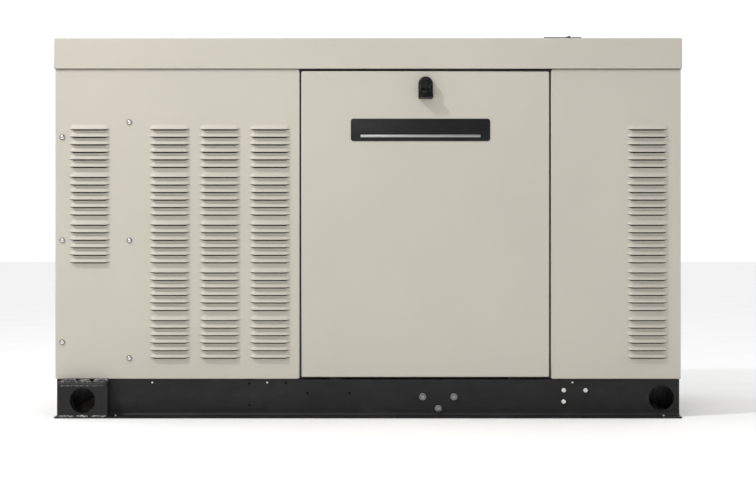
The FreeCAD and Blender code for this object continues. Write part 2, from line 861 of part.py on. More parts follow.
def latch():
    """A round-topped plate, a quarter-turn boss with a cam inside, and a fold-out lever."""
    centre = ("latch_x", "latch_z")
    plate_face = "door_face + latch_plate"
    housing = Piece("latch_housing")
    depth = outward(FRONT, "door_face", plate_face)
    housing.block(about("latch_x", "latch_half"), depth, ("latch_low", "latch_z"))
    housing.rod("Y", centre, depth, "latch_half + 1.5")
    housing.rod("Y", centre, outward(FRONT, "door_face - 14", "door_face"), "latch_shaft + 1.7")
    housing.rod("Y", centre, outward(FRONT, "door_face - 20", "door_face + 20"), "latch_bore", cut=True)

    spindle = Piece("latch_spindle")
    boss = outward(FRONT, f"{plate_face} + 0.3", "door_face + boss_out")
    spindle.rod("Y", centre, outward(FRONT, "cam_near - 6", f"{plate_face} + 1"), "latch_shaft")
    spindle.rod("Y", centre, boss, "boss_radius")
    fork = outward(FRONT, f"{plate_face} + 0.3", "door_face + lever_pin_out + 5")
    for sign in (-1, 1):
        ear = (f"latch_x + {sign} * (boss_radius - 4) - 2.5", f"latch_x + {sign} * (boss_radius - 4) + 2.5")
        spindle.block(ear, fork, ("lever_pin_z - 5", "latch_z - 8"))
    pin_y = "-door_face - lever_pin_out"
    spindle.rod("X", (pin_y, "lever_pin_z"), about("latch_x", "boss_radius - 2"), "lever_pin")
    cover_z = "latch_z + cover_pin_rise"
    stub = outward(FRONT, "door_face + boss_out", "door_face + boss_out + cover_thick + 0.5")
    spindle.rod("Y", ("latch_x", cover_z), stub, "cover_pin")
    cam = outward(FRONT, "cam_near", "cam_far")
    spindle.block(("latch_x - cam_half", "latch_x + cam_reach"), cam, about("latch_z", "cam_half"))

    lever = Piece("latch_lever")
    arm_half = "boss_radius - 7.2"
    body = outward(FRONT, f"{plate_face} + lever_gap", "door_face + lever_out")
    eye = outward(FRONT, f"door_face + lever_pin_out - 6", f"door_face + lever_pin_out + 5.5")
    lever.block(about("latch_x", "lever_half"), body, ("lever_low", "lever_pin_z - 8"))
    lever.block(about("latch_x", arm_half), eye, ("lever_pin_z - 9", "lever_pin_z"))
    lever.rod("X", (pin_y, "lever_pin_z"), about("latch_x", arm_half), "5.5")
    lever.rod("X", (pin_y, "lever_pin_z"), about("latch_x", "lever_half"), "lever_pin_bore", cut=True)
    groove = outward(FRONT, "door_face + lever_out - 2", "door_face + lever_out + 1")
    for step in (3, 6.5, 10):
        height = about(f"lever_low + {step}", "0.75")
        lever.block(about("latch_x", "lever_half - 4"), groove, height, cut=True)

    cover = Piece("latch_key_cover")
    disc = outward(FRONT, "door_face + boss_out + 0.3", "door_face + boss_out + cover_thick")
    cover.rod("Y", ("latch_x", "latch_z + 1"), disc, "cover_radius")
    cover.block(about("latch_x", "4"), disc, ("latch_z + 1", cover_z))
    cover.rod("Y", ("latch_x", cover_z), disc, "4")
    cover.rod("Y", ("latch_x", cover_z), ("-door_face - 60", "-door_face"), "cover_pin_bore", cut=True)


# ---- Engine and alternator --------------------------------------------------------------------

CYLINDERS = [f"cylinder_first + {n} * cylinder_pitch" for n in range(4)]


def engine_block():
    piece = Piece("engine_block")
    piece.block(("block_left", "block_right"), ("-block_half", "block_half"), ("block_low", "deck_z"))
    for y in (("-foot_out", "-foot_in"), ("foot_in", "foot_out")):
        piece.block(about("engine_beam_x", "engine_foot_half"), y, ("mount_top", "block_low + 60"))
    piece.block(("block_right", "block_right + 12"), ("-40", "40"), ("fan_z - 40", "deck_z"))
    piece.block(("dip_x - 10", "dip_x + 10"), ("dip_y - 10", "-block_half"), ("dip_low - 10", "dip_low + 20"))
    crankcase = ("block_left + block_wall", "block_right - block_wall")
    piece.block(crankcase, ("block_wall - block_half", "block_half - block_wall"),
                ("block_low - 1", "crank_roof"), cut=True)
    for x in CYLINDERS:
        piece.rod("Z", (x, "0"), ("crank_roof - 1", "deck_z + 1"), "cylinder_bore", cut=True)
    piece.rod("X", ("0", "crank_z"), ("block_left - 1", "block_right + 1"), "crank_bore", cut=True)
    fan_bearing = ("block_right - block_wall - 1", "block_right + 14")
    piece.rod("X", ("0", "fan_z"), fan_bearing, "fan_bore", cut=True)
    piece.rod("Z", ("dip_x", "dip_y"), ("dip_low", "dip_low + 21"), "dip_tube", cut=True)


def cylinder_head():
    piece = Piece("cylinder_head")
    piece.block(("block_left + 10", "block_right - 10"), ("-head_half", "head_half"), ("deck_z", "head_top"))
    piece.soften("6", along("Z"))


def valve_cover():
    piece = Piece("valve_cover")
    length = ("block_left + 20", "block_right - 20")
    piece.block(length, ("-cover_half", "cover_half"), ("head_top", "cover_top"))
    piece.soften("cover_round", along("Z"))
    piece.rod("Z", ("fill_x", "0"), ("cover_top - 1", "cover_top + 8"), "fill_neck")
    piece.rod("Z", ("fill_x", "0"), ("cover_top - 20", "cover_top + 9"), "fill_bore", cut=True)
    for n in range(3):
        rib_x = f"cylinder_first + {n + 1} * cylinder_pitch"
        width = ("20 - cover_half", "cover_half - 20")
        piece.block(about(rib_x, "4"), width, ("cover_top - 1", "cover_top + 5"))


def oil_pan():
    piece = Piece("oil_pan")
    piece.block(("pan_left", "pan_right"), ("-pan_half", "pan_half"), ("pan_low", "block_low"))
    piece.soften("pan_round", along("Z"))
    hollow_y = ("4 - pan_half", "pan_half - 4")
    piece.block(("pan_left + 4", "pan_right - 4"), hollow_y, ("pan_low + 4", "block_low + 1"), cut=True)
    piece.rod("Y", ("pan_right - 40", "pan_low + 22"), ("-pan_half - 12", "-pan_half + 1"), "11")


def manifolds():
    ends = ("cylinder_first - 30", "cylinder_first + 3 * cylinder_pitch + 30")
    intake = Piece("intake_manifold")
    intake.rod("X", ("-plenum_y", "plenum_z"), ends, "plenum_radius")
    for x in CYLINDERS:
        intake.block(about(x, "runner_half"), ("-plenum_y", "-head_half"), about("plenum_z", "22"))
    intake.rod("Z", ("duct_x", "-plenum_y"), ("plenum_z", "cleaner_z - cleaner_radius - 40"), "duct_radius")
    intake.rod("Z", ("duct_x", "-plenum_y"), ("plenum_z + 50", "plenum_z + 62"), "duct_radius + 10")

    exhaust = Piece("exhaust_manifold")
    exhaust.rod("X", ("log_y", "plenum_z"), ends, "log_radius")
    for x in CYLINDERS:
        exhaust.rod("Y", (x, "plenum_z"), ("head_half", "log_y"), "20")
    exhaust.rod("Y", ("pipe_x", "plenum_z"), ("log_y", "log_y + 50"), "26")


def oil_service():
    """The oil filter, the dipstick in its tube and the filler cap, all on the service side."""
    oil_filter = Piece("oil_filter")
    centre = ("oil_filter_x", "oil_filter_z")
    oil_filter.rod("Y", centre, ("-oil_filter_out", "-block_half - 12"), "oil_filter_radius")
    oil_filter.soften("6", lambda edge: edge.Curve.TypeId == "Part::GeomCircle")
    oil_filter.rod("Y", centre, ("-block_half - 13", "-block_half"), "oil_filter_radius - 8")

    tube = Piece("dipstick_tube")
    place = ("dip_x", "dip_y")
    tube.rod("Z", place, ("dip_low", "dip_top"), "dip_tube")
    tube.rod("Z", place, ("dip_top - 14", "dip_top"), "dip_tube + 1.5")
    tube.rod("Z", place, ("dip_low - 1", "dip_top + 1"), "dip_bore", cut=True)

    stick = Piece("dipstick")
    stick.rod("Z", place, ("dip_low + 4", "dip_top + 8"), "dip_blade")
    stick.rod("Z", place, ("dip_top + 0.5", "dip_top + 8"), "dip_tube + 2")
    ring_z = "dip_top + 8 + dip_ring - 3"
    stick.rod("X", ("dip_y", ring_z), about("dip_x", "2.5"), "dip_ring")
    stick.rod("X", ("dip_y", ring_z), about("dip_x", "3"), "dip_ring - 5", cut=True)

    cap = Piece("oil_filler_cap")
    cap_low = "cover_top + 8.3"
    cap.rod("Z", ("fill_x", "0"), (cap_low, "cover_top + 26"), "fill_cap")
    cap.rod("Z", ("fill_x", "0"), ("cover_top - 8", cap_low), "fill_plug")
    cap.block(about("fill_x", "20"), ("-5", "5"), ("cover_top + 25", "cover_top + 36"))


def crankshaft():
    piece = Piece("crankshaft")
    centre = ("0", "crank_z")
    piece.rod("X", centre, ("gen_left + 1", "pulley_right"), "crank_shaft")
    piece.rod("X", centre, ("pulley_left", "pulley_right"), "crank_pulley")
    piece.rod("X", centre, ("flywheel_left", "flywheel_right"), "flywheel_radius")
    for x in CYLINDERS:
        for sign in (-1, 1):
            middle = f"{x} + {sign} * web_thick * 1.2"
            piece.rod("X", centre, about(middle, "web_thick / 2"), "crank_web")


def alternator():
    centre = ("0", "crank_z")
    housing = Piece("generator_housing")
    for y in (("-foot_out", "-foot_in + 10"), ("foot_in - 10", "foot_out")):
        housing.block(about("rear_beam_x", "gen_foot_half"), y, ("mount_top", "crank_z - 90"))
    housing.rod("X", centre, ("gen_left", "block_left"), "gen_radius")
    housing.rod("X", centre, ("bell_left", "block_left"), "bell_radius")
    inside = ("gen_left + gen_wall", "block_left - gen_wall")
    housing.rod("X", centre, inside, "gen_radius - gen_wall", cut=True)
    housing.rod("X", centre, ("gen_left - 1", "block_left + 1"), "crank_bore", cut=True)

    stator = Piece("stator")
    stator.rod("X", centre, ("rotor_left", "rotor_right"), "gen_radius - gen_wall")
    stator.rod("X", centre, ("rotor_left - 1", "rotor_right + 1"), "rotor_radius + 2", cut=True)

    rotor = Piece("rotor")
    rotor.rod("X", centre, ("rotor_left", "rotor_right"), "rotor_radius")
    rotor.rod("X", centre, ("rotor_left - 1", "rotor_right + 1"), "crank_shaft", cut=True)

    mounts = Piece("engine_mounts")
    for x in ("rear_beam_x", "engine_beam_x"):
        for y in ("-mount_y", "mount_y"):
            mounts.rod("Z", (x, y), ("beam_top", "mount_top"), "mount_radius")


# ---- Cooling ----------------------------------------------------------------------------------


def fan():
    """Hub, pulley and pitched blades on one shaft, drawn about its own axis."""
    piece = Piece("fan")
    axis = ("0", "0")
    piece.rod("X", axis, ("block_right - 20", "fan_plane + fan_hub_half"), "fan_shaft")
    piece.rod("X", axis, ("pulley_left", "pulley_right"), "fan_pulley")
    piece.rod("X", axis, about("fan_plane", "fan_hub_half"), "fan_hub")
    pitch = Rotation(Vector(0, 0, 1), SIZES["blade_pitch"])
    sizes = {"Length": "2 * blade_half", "Width": "blade_thick", "Height": "fan_radius - fan_hub + 8"}
    forward = "fan_plane - blade_half * cos(blade_pitch * 1 deg)"
    base = (forward, "-blade_half * sin(blade_pitch * 1 deg)", "fan_hub - 8")
    blade = piece.feature("Box", False, sizes, base, pitch)
    piece.spin(blade, "blade_count")
    bind(piece.body, "Placement.Base.z", "fan_z")


def fan_belt():
    """A flat belt round both pulleys, held just clear of them."""
    piece = Piece("fan_belt")
    span = ("pulley_left + belt_inset", "pulley_right - belt_inset")
    lean = "asin((crank_pulley - fan_pulley) / (fan_z - crank_z))"
    for grow, cut in (("belt_gap + belt_thick", False), ("belt_gap", True)):
        big = f"(crank_pulley + {grow})"
        small = f"(fan_pulley + {grow})"
        reach = (f"{span[0]} - 1", f"{span[1]} + 1") if cut else span
        sides = [
            (f"-{big} * cos({lean})", f"crank_z + {big} * sin({lean})"),
            (f"{big} * cos({lean})", f"crank_z + {big} * sin({lean})"),
            (f"{small} * cos({lean})", f"fan_z + {small} * sin({lean})"),
            (f"-{small} * cos({lean})", f"fan_z + {small} * sin({lean})"),
        ]
        piece.rod("X", ("0", "crank_z"), reach, big, cut)
        piece.prism("X", sides, reach, cut)
        piece.rod("X", ("0", "fan_z"), reach, small, cut)


def radiator():
    piece = Piece("radiator")
    wide = ("core_left", "core_right")
    deep = ("core_front", "core_rear")
    piece.block(wide, deep, ("beam_top", "tank_high"))
    piece.block(("neck_left", "core_right"), ("neck_front", "core_front"), ("core_high", "tank_high"))
    piece.rod("Z", ("filler_x", "filler_y"), ("tank_high - 1", "neck_top"), "neck_radius")
    piece.rod("Z", ("filler_x", "filler_y"), ("neck_top - 4", "neck_top"), "neck_radius + 5")
    piece.rod("Z", ("filler_x", "filler_y"), ("tank_high - 20", "neck_top + 1"), "neck_radius - 3", cut=True)
    inset = ("core_front + 14", "core_rear - 14")
    piece.block(("core_left - 1", "core_left + 8"), inset, ("core_low", "core_high"), cut=True)
    piece.block(("core_right - 8", "core_right + 1"), inset, ("core_low", "core_high"), cut=True)

    cap = Piece("radiator_cap")
    cap.rod("Z", ("filler_x", "filler_y"), ("neck_top + 0.3", "cap_top"), "cap_radius - 4")
    cap.block(about("filler_x", "cap_radius"), about("filler_y", "7"), ("cap_top - 8", "cap_top - 1"))
    cap.rod("Z", ("filler_x", "filler_y"), ("neck_top - 20", "neck_top + 1"), "neck_radius - 3.5")

    baffle = Piece("radiator_baffle")
    thick = ("baffle_x", "baffle_x + sheet")
    past = ("baffle_x - 1", "baffle_x + sheet + 1")
    baffle.block(thick, ("-baffle_half", "baffle_half"), ("baffle_low", "baffle_high"))
    baffle.block(past, ("-window_half", "window_half"), about("fan_z", "window_half"), cut=True)
    baffle.rod("X", ("pipe_y", "muffler_z"), past, "pipe_clear", cut=True)
    baffle.rod("X", ("upper_hose_y", "upper_hose_z"), past, "hose_radius + 4", cut=True)
    baffle.rod("X", ("lower_hose_y", "lower_hose_z"), past, "hose_radius + 4", cut=True)

    shroud = Piece("fan_shroud")
    centre = ("0", "fan_z")
    mouth = about("fan_z", "window_half")
    shroud.block(("baffle_x - 12", "baffle_x"), ("-window_half", "window_half"), mouth)
    shroud.rod("X", centre, ("shroud_left", "baffle_x"), "shroud_ring")
    shroud.rod("X", centre, ("shroud_left - 1", "baffle_x + 1"), "shroud_ring - shroud_wall", cut=True)


def hose_run(piece, points, radius):
    """Round hose through corner points, each leg along one axis, with ball corners."""
    for start, end in zip(points, points[1:]):
        axis = next(n for n in range(3) if start[n] != end[n])
        rest = [start[n] for n in range(3) if n != axis]
        low, high = (start[axis], end[axis])
        if number(low) > number(high):
            low, high = high, low
        piece.rod("XYZ"[axis], tuple(rest), (low, high), radius)
    for corner in points[1:-1]:
        piece.ball(corner, radius)


def coolant_hoses():
    piece = Piece("coolant_hoses")
    upper = [
        ("block_right - 10", "upper_hose_y", "head_port_z"),
        ("hose_bend_x", "upper_hose_y", "head_port_z"),
        ("hose_bend_x", "upper_hose_y", "upper_hose_z"),
        ("core_left + 8", "upper_hose_y", "upper_hose_z"),
    ]
    lower = [
        ("block_right", "lower_hose_y", "block_port_z"),
        ("hose_bend_x", "lower_hose_y", "block_port_z"),
        ("hose_bend_x", "lower_hose_y", "lower_hose_z"),
        ("core_left + 8", "lower_hose_y", "lower_hose_z"),
    ]
    hose_run(piece, upper, "hose_radius")
    hose_run(piece, lower, "hose_radius - 3")


# ---- Exhaust, air and fuel --------------------------------------------------------------------


def exhaust_system():
    muffler = Piece("muffler")
    centre = ("muffler_beam_x", "muffler_z")
    muffler.rod("Y", centre, ("-muffler_half", "muffler_half"), "muffler_radius")
    muffler.soften("12", lambda edge: edge.Curve.TypeId == "Part::GeomCircle")
    for y in ("-180", "180"):
        leg = ("beam_top", "muffler_z - muffler_radius + 20")
        muffler.block(about("muffler_beam_x", "15"), about(y, "4"), leg)

    pipe = Piece("exhaust_pipe")
    inlet = [
        ("pipe_x", "log_y + 50", "muffler_z"),
        ("pipe_x", "pipe_y", "muffler_z"),
        ("muffler_beam_x", "pipe_y", "muffler_z"),
        ("muffler_beam_x", "muffler_half", "muffler_z"),
    ]
    hose_run(pipe, inlet, "pipe_radius")
    tail = ("muffler_beam_x + muffler_radius", "tail_right")
    pipe.rod("X", ("tail_y", "muffler_z"), tail, "pipe_radius")


def air_and_fuel():
    cleaner = Piece("air_cleaner")
    centre = ("-plenum_y", "cleaner_z")
    cleaner.rod("X", centre, ("cleaner_left", "cleaner_right"), "cleaner_radius")
    cleaner.soften("8", lambda edge: edge.Curve.TypeId == "Part::GeomCircle")
    neck = ("cleaner_z - cleaner_radius - 40", "cleaner_z - cleaner_radius + 12")
    cleaner.rod("Z", ("duct_x", "-plenum_y"), neck, "duct_radius + 4")
    cleaner.rod("X", centre, ("cleaner_right - 40", "cleaner_right - 32"), "cleaner_radius + 3")

    fuel = Piece("fuel_regulator")
    body = ("regulator_low", "regulator_high")
    fuel.block(about("regulator_x", "regulator_half"), ("regulator_near", "regulator_far"), body)
    fuel.soften("10", along("Z"))
    outlet = "bracket_face"
    fuel.rod("Z", ("regulator_x", "fuel_pipe_y"), ("fuel_pipe_z", "regulator_low"), "fuel_pipe")
    fuel.ball(("regulator_x", "fuel_pipe_y", "fuel_pipe_z"), "fuel_pipe")
    fuel.rod("Y", ("regulator_x", "fuel_pipe_z"), ("fuel_pipe_y", outlet), "fuel_pipe")
    fuel.rod("Y", ("regulator_x", "fuel_pipe_z"), ("web_face + 6", outlet), "fuel_hex")
    depth = (f"{outlet} - fuel_depth", f"{outlet} + 1")
    fuel.rod("Y", ("regulator_x", "fuel_pipe_z"), depth, "fuel_bore", cut=True)
    hose = [
        ("regulator_x", "fuel_pipe_y", "regulator_high - 5"),
        ("regulator_x", "fuel_pipe_y", "fuel_hose_z"),
        ("regulator_x", "-plenum_y", "fuel_hose_z"),
        ("duct_x - duct_radius", "-plenum_y", "fuel_hose_z"),
    ]
    hose_run(fuel, hose, "fuel_hose")


# ---- Battery and controls ---------------------------------------------------------------------


def battery():
    tray = Piece("battery_tray")
    wide = ("tray_left", "tray_right")
    deep = ("tray_front", "tray_rear")
    tray.block(wide, deep, ("base_top", "base_top + tray_lip"))
    hollow_x = ("tray_left + tray_thick", "tray_right - tray_thick")
    hollow_y = ("tray_front + tray_thick", "tray_rear - tray_thick")
    tray.block(hollow_x, hollow_y, ("base_top + tray_thick", "base_top + tray_lip + 1"), cut=True)

    piece = Piece("battery")
    left, right = ("tray_left + battery_margin", "tray_right - battery_margin")
    front, rear = ("tray_front + battery_margin", "tray_rear - battery_margin")
    piece.block((left, right), (front, rear), ("base_top + tray_thick", "battery_top"))
    piece.soften("4", along("Z"))
    piece.block((left, right), (front, rear), ("battery_top - 26", "battery_top - 20"))
    for x in (f"{left} + 35", f"{right} - 35"):
        piece.rod("Z", (x, f"{front} + 35"), ("battery_top - 1", "battery_top + 16"), "terminal_radius")


def control_box():
    piece = Piece("control_box")
    piece.block(("box_left", "box_right"), outward(FRONT, "box_back", "box_face"), ("box_low", "box_high"))
    piece.soften("3", along("Z"))
    for x in ("box_left + 50", "box_right - 40"):
        strap = outward(FRONT, "box_face - 12", "box_face - 12 + hanger_thick")
        piece.block(about(x, "hanger_half"), strap, ("box_high - 1", "header_top - post_wall"))
    bezel = outward(FRONT, "box_face", "box_face + display_out")
    piece.block(("display_left", "display_right"), bezel, ("display_low", "display_high"))
    stop = ("stop_x", "stop_z")
    piece.rod("Y", stop, outward(FRONT, "box_face - 30", "box_face + 1"), "stop_bore", cut=True)
    bore = outward(FRONT, "box_face - 10", "box_face + 1")
    piece.rod("Y", ("switch_x", "switch_z"), bore, "4.05", cut=True)

    switch = Piece("mode_switch")
    centre = ("switch_x", "switch_z")
    switch.rod("Y", centre, outward(FRONT, "box_face + 0.3", "box_face + switch_out - 8"), "switch_radius")
    switch.rod("Y", centre, outward(FRONT, "box_face - 9", "box_face + 1"), "4")
    grip = outward(FRONT, "box_face + 2", "box_face + switch_out")
    switch.block(about("switch_x", "3.5"), grip, about("switch_z", "switch_radius - 1"))

    button = Piece("e_stop")
    button.rod("Y", stop, outward(FRONT, "box_face + stop_travel + 1", "box_face + stop_out"), "stop_head")
    button.soften("2.5", lambda edge: edge.Curve.TypeId == "Part::GeomCircle")
    button.rod("Y", stop, outward(FRONT, "box_face - 15", "box_face + stop_travel + 2"), "stop_stem")


def main_breaker():
    piece = Piece("main_breaker")
    middle = "(box_right + breaker_right) / 2"
    depth = outward(FRONT, "breaker_back", "box_face")
    piece.block(("box_right", "breaker_right"), depth, ("breaker_low", "breaker_high"))
    raised = outward(FRONT, "box_face", "box_face + 3")
    face_x = ("box_right + 15", "breaker_right - 15")
    piece.block(face_x, raised, ("breaker_low + 30", "breaker_high - 30"))
    pocket = outward(FRONT, "box_face - toggle_drum - 2", "box_face + 4")
    piece.block(about(middle, "toggle_half + 1"), pocket, about("toggle_z", "2 * toggle_drum"), cut=True)

    toggle = Piece("breaker_toggle")
    axis = ("-box_face", "toggle_z")
    toggle.rod("X", axis, about(middle, "toggle_half"), "toggle_drum")
    handle = outward(FRONT, "box_face", "box_face + toggle_out")
    toggle.block(about(middle, "toggle_half"), handle, ("toggle_z + 3", "toggle_z + 10"))


# ---- Build, check and save --------------------------------------------------------------------


def build_all():
    rail("front_rail", FRONT)
    rail("rear_rail", REAR)
    crossmembers()
    lifting_brackets()
    rail_fasteners()
    side_panels()
    end_panels()
    panel_screws()
    frame_posts()
    roof_headers()
    door_seal()
    roof()
    roof_flap()
    front_door()
    door_liner()
    door_badge()
    latch()
    engine_block()
    cylinder_head()
    valve_cover()
    oil_pan()
    manifolds()
    oil_service()
    crankshaft()
    alternator()
    fan()
    fan_belt()
    radiator()
    coolant_hoses()
    exhaust_system()
    air_and_fuel()
    battery()
    control_box()
    main_breaker()
    doc.recompute()


def check_and_save():
    for item in doc.Objects:
        if "Invalid" in item.State or "Error" in item.State:
            raise RuntimeError(f"{item.Label} did not recompute: {item.State}")
    os.makedirs("parts", exist_ok=True)
    for body in Piece.made:
        if body.Shape.isNull() or not body.Shape.isValid():
            raise RuntimeError(f"{body.Label} has no valid shape")
        body.Shape.exportStep(f"parts/{body.Label}.step")
        box = body.Shape.BoundBox
        print(f"{body.Label}: {len(body.Shape.Solids)} solids, {body.Shape.Volume / 1e6:.3f} litres,",
              f"x {box.XMin:.1f} {box.XMax:.1f}, y {box.YMin:.1f} {box.YMax:.1f}, z {box.ZMin:.1f} {box.ZMax:.1f}")


build_all()
check_and_save()
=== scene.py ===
import json
import math

import bmesh
import bpy
from mathutils import Matrix, Vector, noise


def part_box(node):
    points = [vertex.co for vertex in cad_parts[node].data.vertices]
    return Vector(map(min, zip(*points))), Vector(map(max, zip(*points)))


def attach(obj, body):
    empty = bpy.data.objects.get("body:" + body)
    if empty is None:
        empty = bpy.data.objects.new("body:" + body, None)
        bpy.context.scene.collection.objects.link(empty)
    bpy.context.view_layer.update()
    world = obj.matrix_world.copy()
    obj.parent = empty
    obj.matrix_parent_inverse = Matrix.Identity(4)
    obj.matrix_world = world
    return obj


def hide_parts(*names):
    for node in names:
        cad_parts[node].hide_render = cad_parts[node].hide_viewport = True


# Looks for a home standby generator: formed sheet-metal skins with pressed louvres, a welded
# black base, a moulded latch and procedural finishes, all placed from the CAD frame. Metres.

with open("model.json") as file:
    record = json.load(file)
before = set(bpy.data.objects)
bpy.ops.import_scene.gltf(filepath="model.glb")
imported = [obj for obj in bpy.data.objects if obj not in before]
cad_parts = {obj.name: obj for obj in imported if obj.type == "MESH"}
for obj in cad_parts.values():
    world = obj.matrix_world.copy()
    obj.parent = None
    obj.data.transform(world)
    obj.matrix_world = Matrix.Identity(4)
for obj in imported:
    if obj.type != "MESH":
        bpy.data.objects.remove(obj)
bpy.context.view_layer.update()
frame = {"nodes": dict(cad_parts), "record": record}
nodes = frame["nodes"]


# ---- Materials --------------------------------------------------------------------------------


class Finish:
    """A Principled material with noise-driven colour, roughness and relief."""

    def __init__(self, name, metallic=0.0, specular=0.5):
        self.material = bpy.data.materials.new(name)
        self.material.use_nodes = True
        self.tree = self.material.node_tree
        self.shader = self.tree.nodes["Principled BSDF"]
        self.shader.inputs["Metallic"].default_value = metallic
        self.shader.inputs["Specular IOR Level"].default_value = specular
        self.place = self.add("ShaderNodeTexCoord").outputs["Object"]
        self.relief = None

    def add(self, kind, **settings):
        node = self.tree.nodes.new(kind)
        for name, value in settings.items():
            setattr(node, name, value)
        return node

    def join(self, source, target):
        self.tree.links.new(source, target)

    def stretched(self, scale):
        """The object's coordinates, scaled differently along each axis."""
        mapping = self.add("ShaderNodeMapping")
        mapping.inputs["Scale"].default_value = scale
        self.join(self.place, mapping.inputs["Vector"])
        return mapping.outputs["Vector"]

    def noise(self, scale, detail=3.0, roughness=0.55, place=None):
        node = self.add("ShaderNodeTexNoise")
        node.inputs["Scale"].default_value = scale
        node.inputs["Detail"].default_value = detail
        node.inputs["Roughness"].default_value = roughness
        self.join(place or self.place, node.inputs["Vector"])
        return node.outputs["Fac"]

    def ramp(self, source, stops):
        node = self.add("ShaderNodeValToRGB")
        elements = node.color_ramp.elements
        while len(elements) < len(stops):
            elements.new(0.5)
        for element, (position, colour) in zip(elements, stops):
            element.position = position
            element.color = (*colour, 1.0)
        self.join(source, node.inputs["Fac"])
        return node.outputs["Color"]

    def rescale(self, source, low, high, start=0.3, end=0.7):
        node = self.add("ShaderNodeMapRange")
        node.inputs["From Min"].default_value = start
        node.inputs["From Max"].default_value = end
        node.inputs["To Min"].default_value = low
        node.inputs["To Max"].default_value = high
        self.join(source, node.inputs["Value"])
        return node.outputs["Result"]

    def colour(self, source):
        self.join(source, self.shader.inputs["Base Color"])

    def rough(self, source, low, high):
        self.join(self.rescale(source, low, high), self.shader.inputs["Roughness"])

    def bump(self, source, height, strength=1.0):
        """Relief of a given height in metres, laid over any relief already there."""
        node = self.add("ShaderNodeBump")
        node.inputs["Distance"].default_value = height
        node.inputs["Strength"].default_value = strength
        self.join(source, node.inputs["Height"])
        if self.relief:
            self.join(self.relief, node.inputs["Normal"])
        self.relief = node.outputs["Normal"]
        self.join(self.relief, self.shader.inputs["Normal"])


def tint(colour, factor):
    return tuple(min(1.0, channel * factor) for channel in colour)


def powder_coat(name, colour, spread=0.03, rough=(0.42, 0.55), grain=900.0, height=0.00006):
    """Baked powder paint: faint tone drift, orange peel and a fine grain."""
    finish = Finish(name, specular=0.45)
    drift = finish.noise(2.2, detail=4.0)
    finish.colour(finish.ramp(drift, [(0.3, tint(colour, 1 - spread)), (0.7, tint(colour, 1 + spread))]))
    finish.rough(finish.noise(35.0), *rough)
    finish.bump(finish.noise(140.0, detail=2.0), height * 2)
    finish.bump(finish.noise(grain, detail=1.0), height)
    return finish.material


def chassis_paint():
    """Black semi-gloss paint over rolled steel, with dust, rub marks and mill texture."""
    finish = Finish("chassis_black", specular=0.3)
    dust = finish.noise(9.0, detail=8.0, roughness=0.65, place=finish.stretched((1.0, 1.0, 2.5)))
    dark, mid, pale = (0.009, 0.0083, 0.0086), (0.014, 0.0132, 0.0134), (0.024, 0.0225, 0.022)
    finish.colour(finish.ramp(dust, [(0.3, dark), (0.55, mid), (0.8, pale)]))
    finish.rough(finish.noise(26.0, detail=6.0), 0.38, 0.62)
    finish.bump(finish.noise(60.0, detail=5.0), 0.0003)
    finish.bump(finish.noise(700.0, detail=2.0), 0.00008)
    return finish.material


def weld_paint_with_glints():
    """Weld beads: dark ripples flecked with bright spots that paint in highlights."""
    finish = Finish("weld_paint_with_glints", specular=0.6)
    glint_spots = finish.noise(160.0, detail=5.0, roughness=0.7)
    # The palest stop is a painted highlight on the ripples.
    glint_tones = [(0.4, (0.025, 0.025, 0.025)), (0.52, (0.12, 0.115, 0.11)), (0.6, (0.55, 0.53, 0.5))]
    finish.colour(finish.ramp(glint_spots, glint_tones))
    finish.rough(glint_spots, 0.25, 0.45)
    finish.bump(finish.noise(300.0, detail=3.0), 0.0006)
    return finish.material


def plated(name, colour, rough=(0.18, 0.36), spread=0.12):
    """Zinc plate or another bright metal with faint spangle and handling marks."""
    finish = Finish(name, metallic=1.0)
    spangle = finish.noise(240.0, detail=3.0)
    finish.colour(finish.ramp(spangle, [(0.3, tint(colour, 1 - spread)), (0.7, tint(colour, 1 + spread))]))
    finish.rough(finish.noise(90.0, detail=5.0), *rough)
    finish.bump(finish.noise(900.0, detail=2.0), 0.00003)
    return finish.material


def moulded(name, colour, rough=(0.35, 0.5), grain=1400.0, height=0.00008, specular=0.5):
    """Injection-moulded plastic or rubber with a fine spark-eroded grain."""
    finish = Finish(name, specular=specular)
    patch = finish.noise(30.0, detail=4.0)
    finish.colour(finish.ramp(patch, [(0.3, tint(colour, 0.8)), (0.7, tint(colour, 1.25))]))
    finish.rough(finish.noise(200.0, detail=3.0), *rough)
    finish.bump(finish.noise(grain, detail=2.0), height)
    return finish.material


def casting(name, colour, metallic=0.0, height=0.0004, rough=(0.5, 0.75), stain=None):
    """Sand-cast metal: coarse skin, pits and darker grime."""
    finish = Finish(name, metallic=metallic)
    grime = finish.noise(14.0, detail=7.0, roughness=0.6)
    middle = stain or tint(colour, 0.75)
    finish.colour(finish.ramp(grime, [(0.3, tint(colour, 0.5)), (0.5, middle), (0.7, colour)]))
    finish.rough(grime, *rough)
    finish.bump(finish.noise(90.0, detail=3.0), height)
    finish.bump(finish.noise(500.0, detail=4.0), height / 2)
    return finish.material


def acoustic_foam():
    """Dark open-cell foam with a shallow cell pattern."""
    finish = Finish("acoustic_foam", specular=0.1)
    shade = finish.noise(60.0, detail=6.0)
    finish.colour(finish.ramp(shade, [(0.3, (0.01, 0.01, 0.0105)), (0.7, (0.026, 0.026, 0.027))]))
    finish.rough(shade, 0.85, 1.0)
    cells = finish.add("ShaderNodeTexVoronoi")
    cells.inputs["Scale"].default_value = 220.0
    finish.join(finish.place, cells.inputs["Vector"])
    finish.bump(cells.outputs["Distance"], 0.0012)
    return finish.material


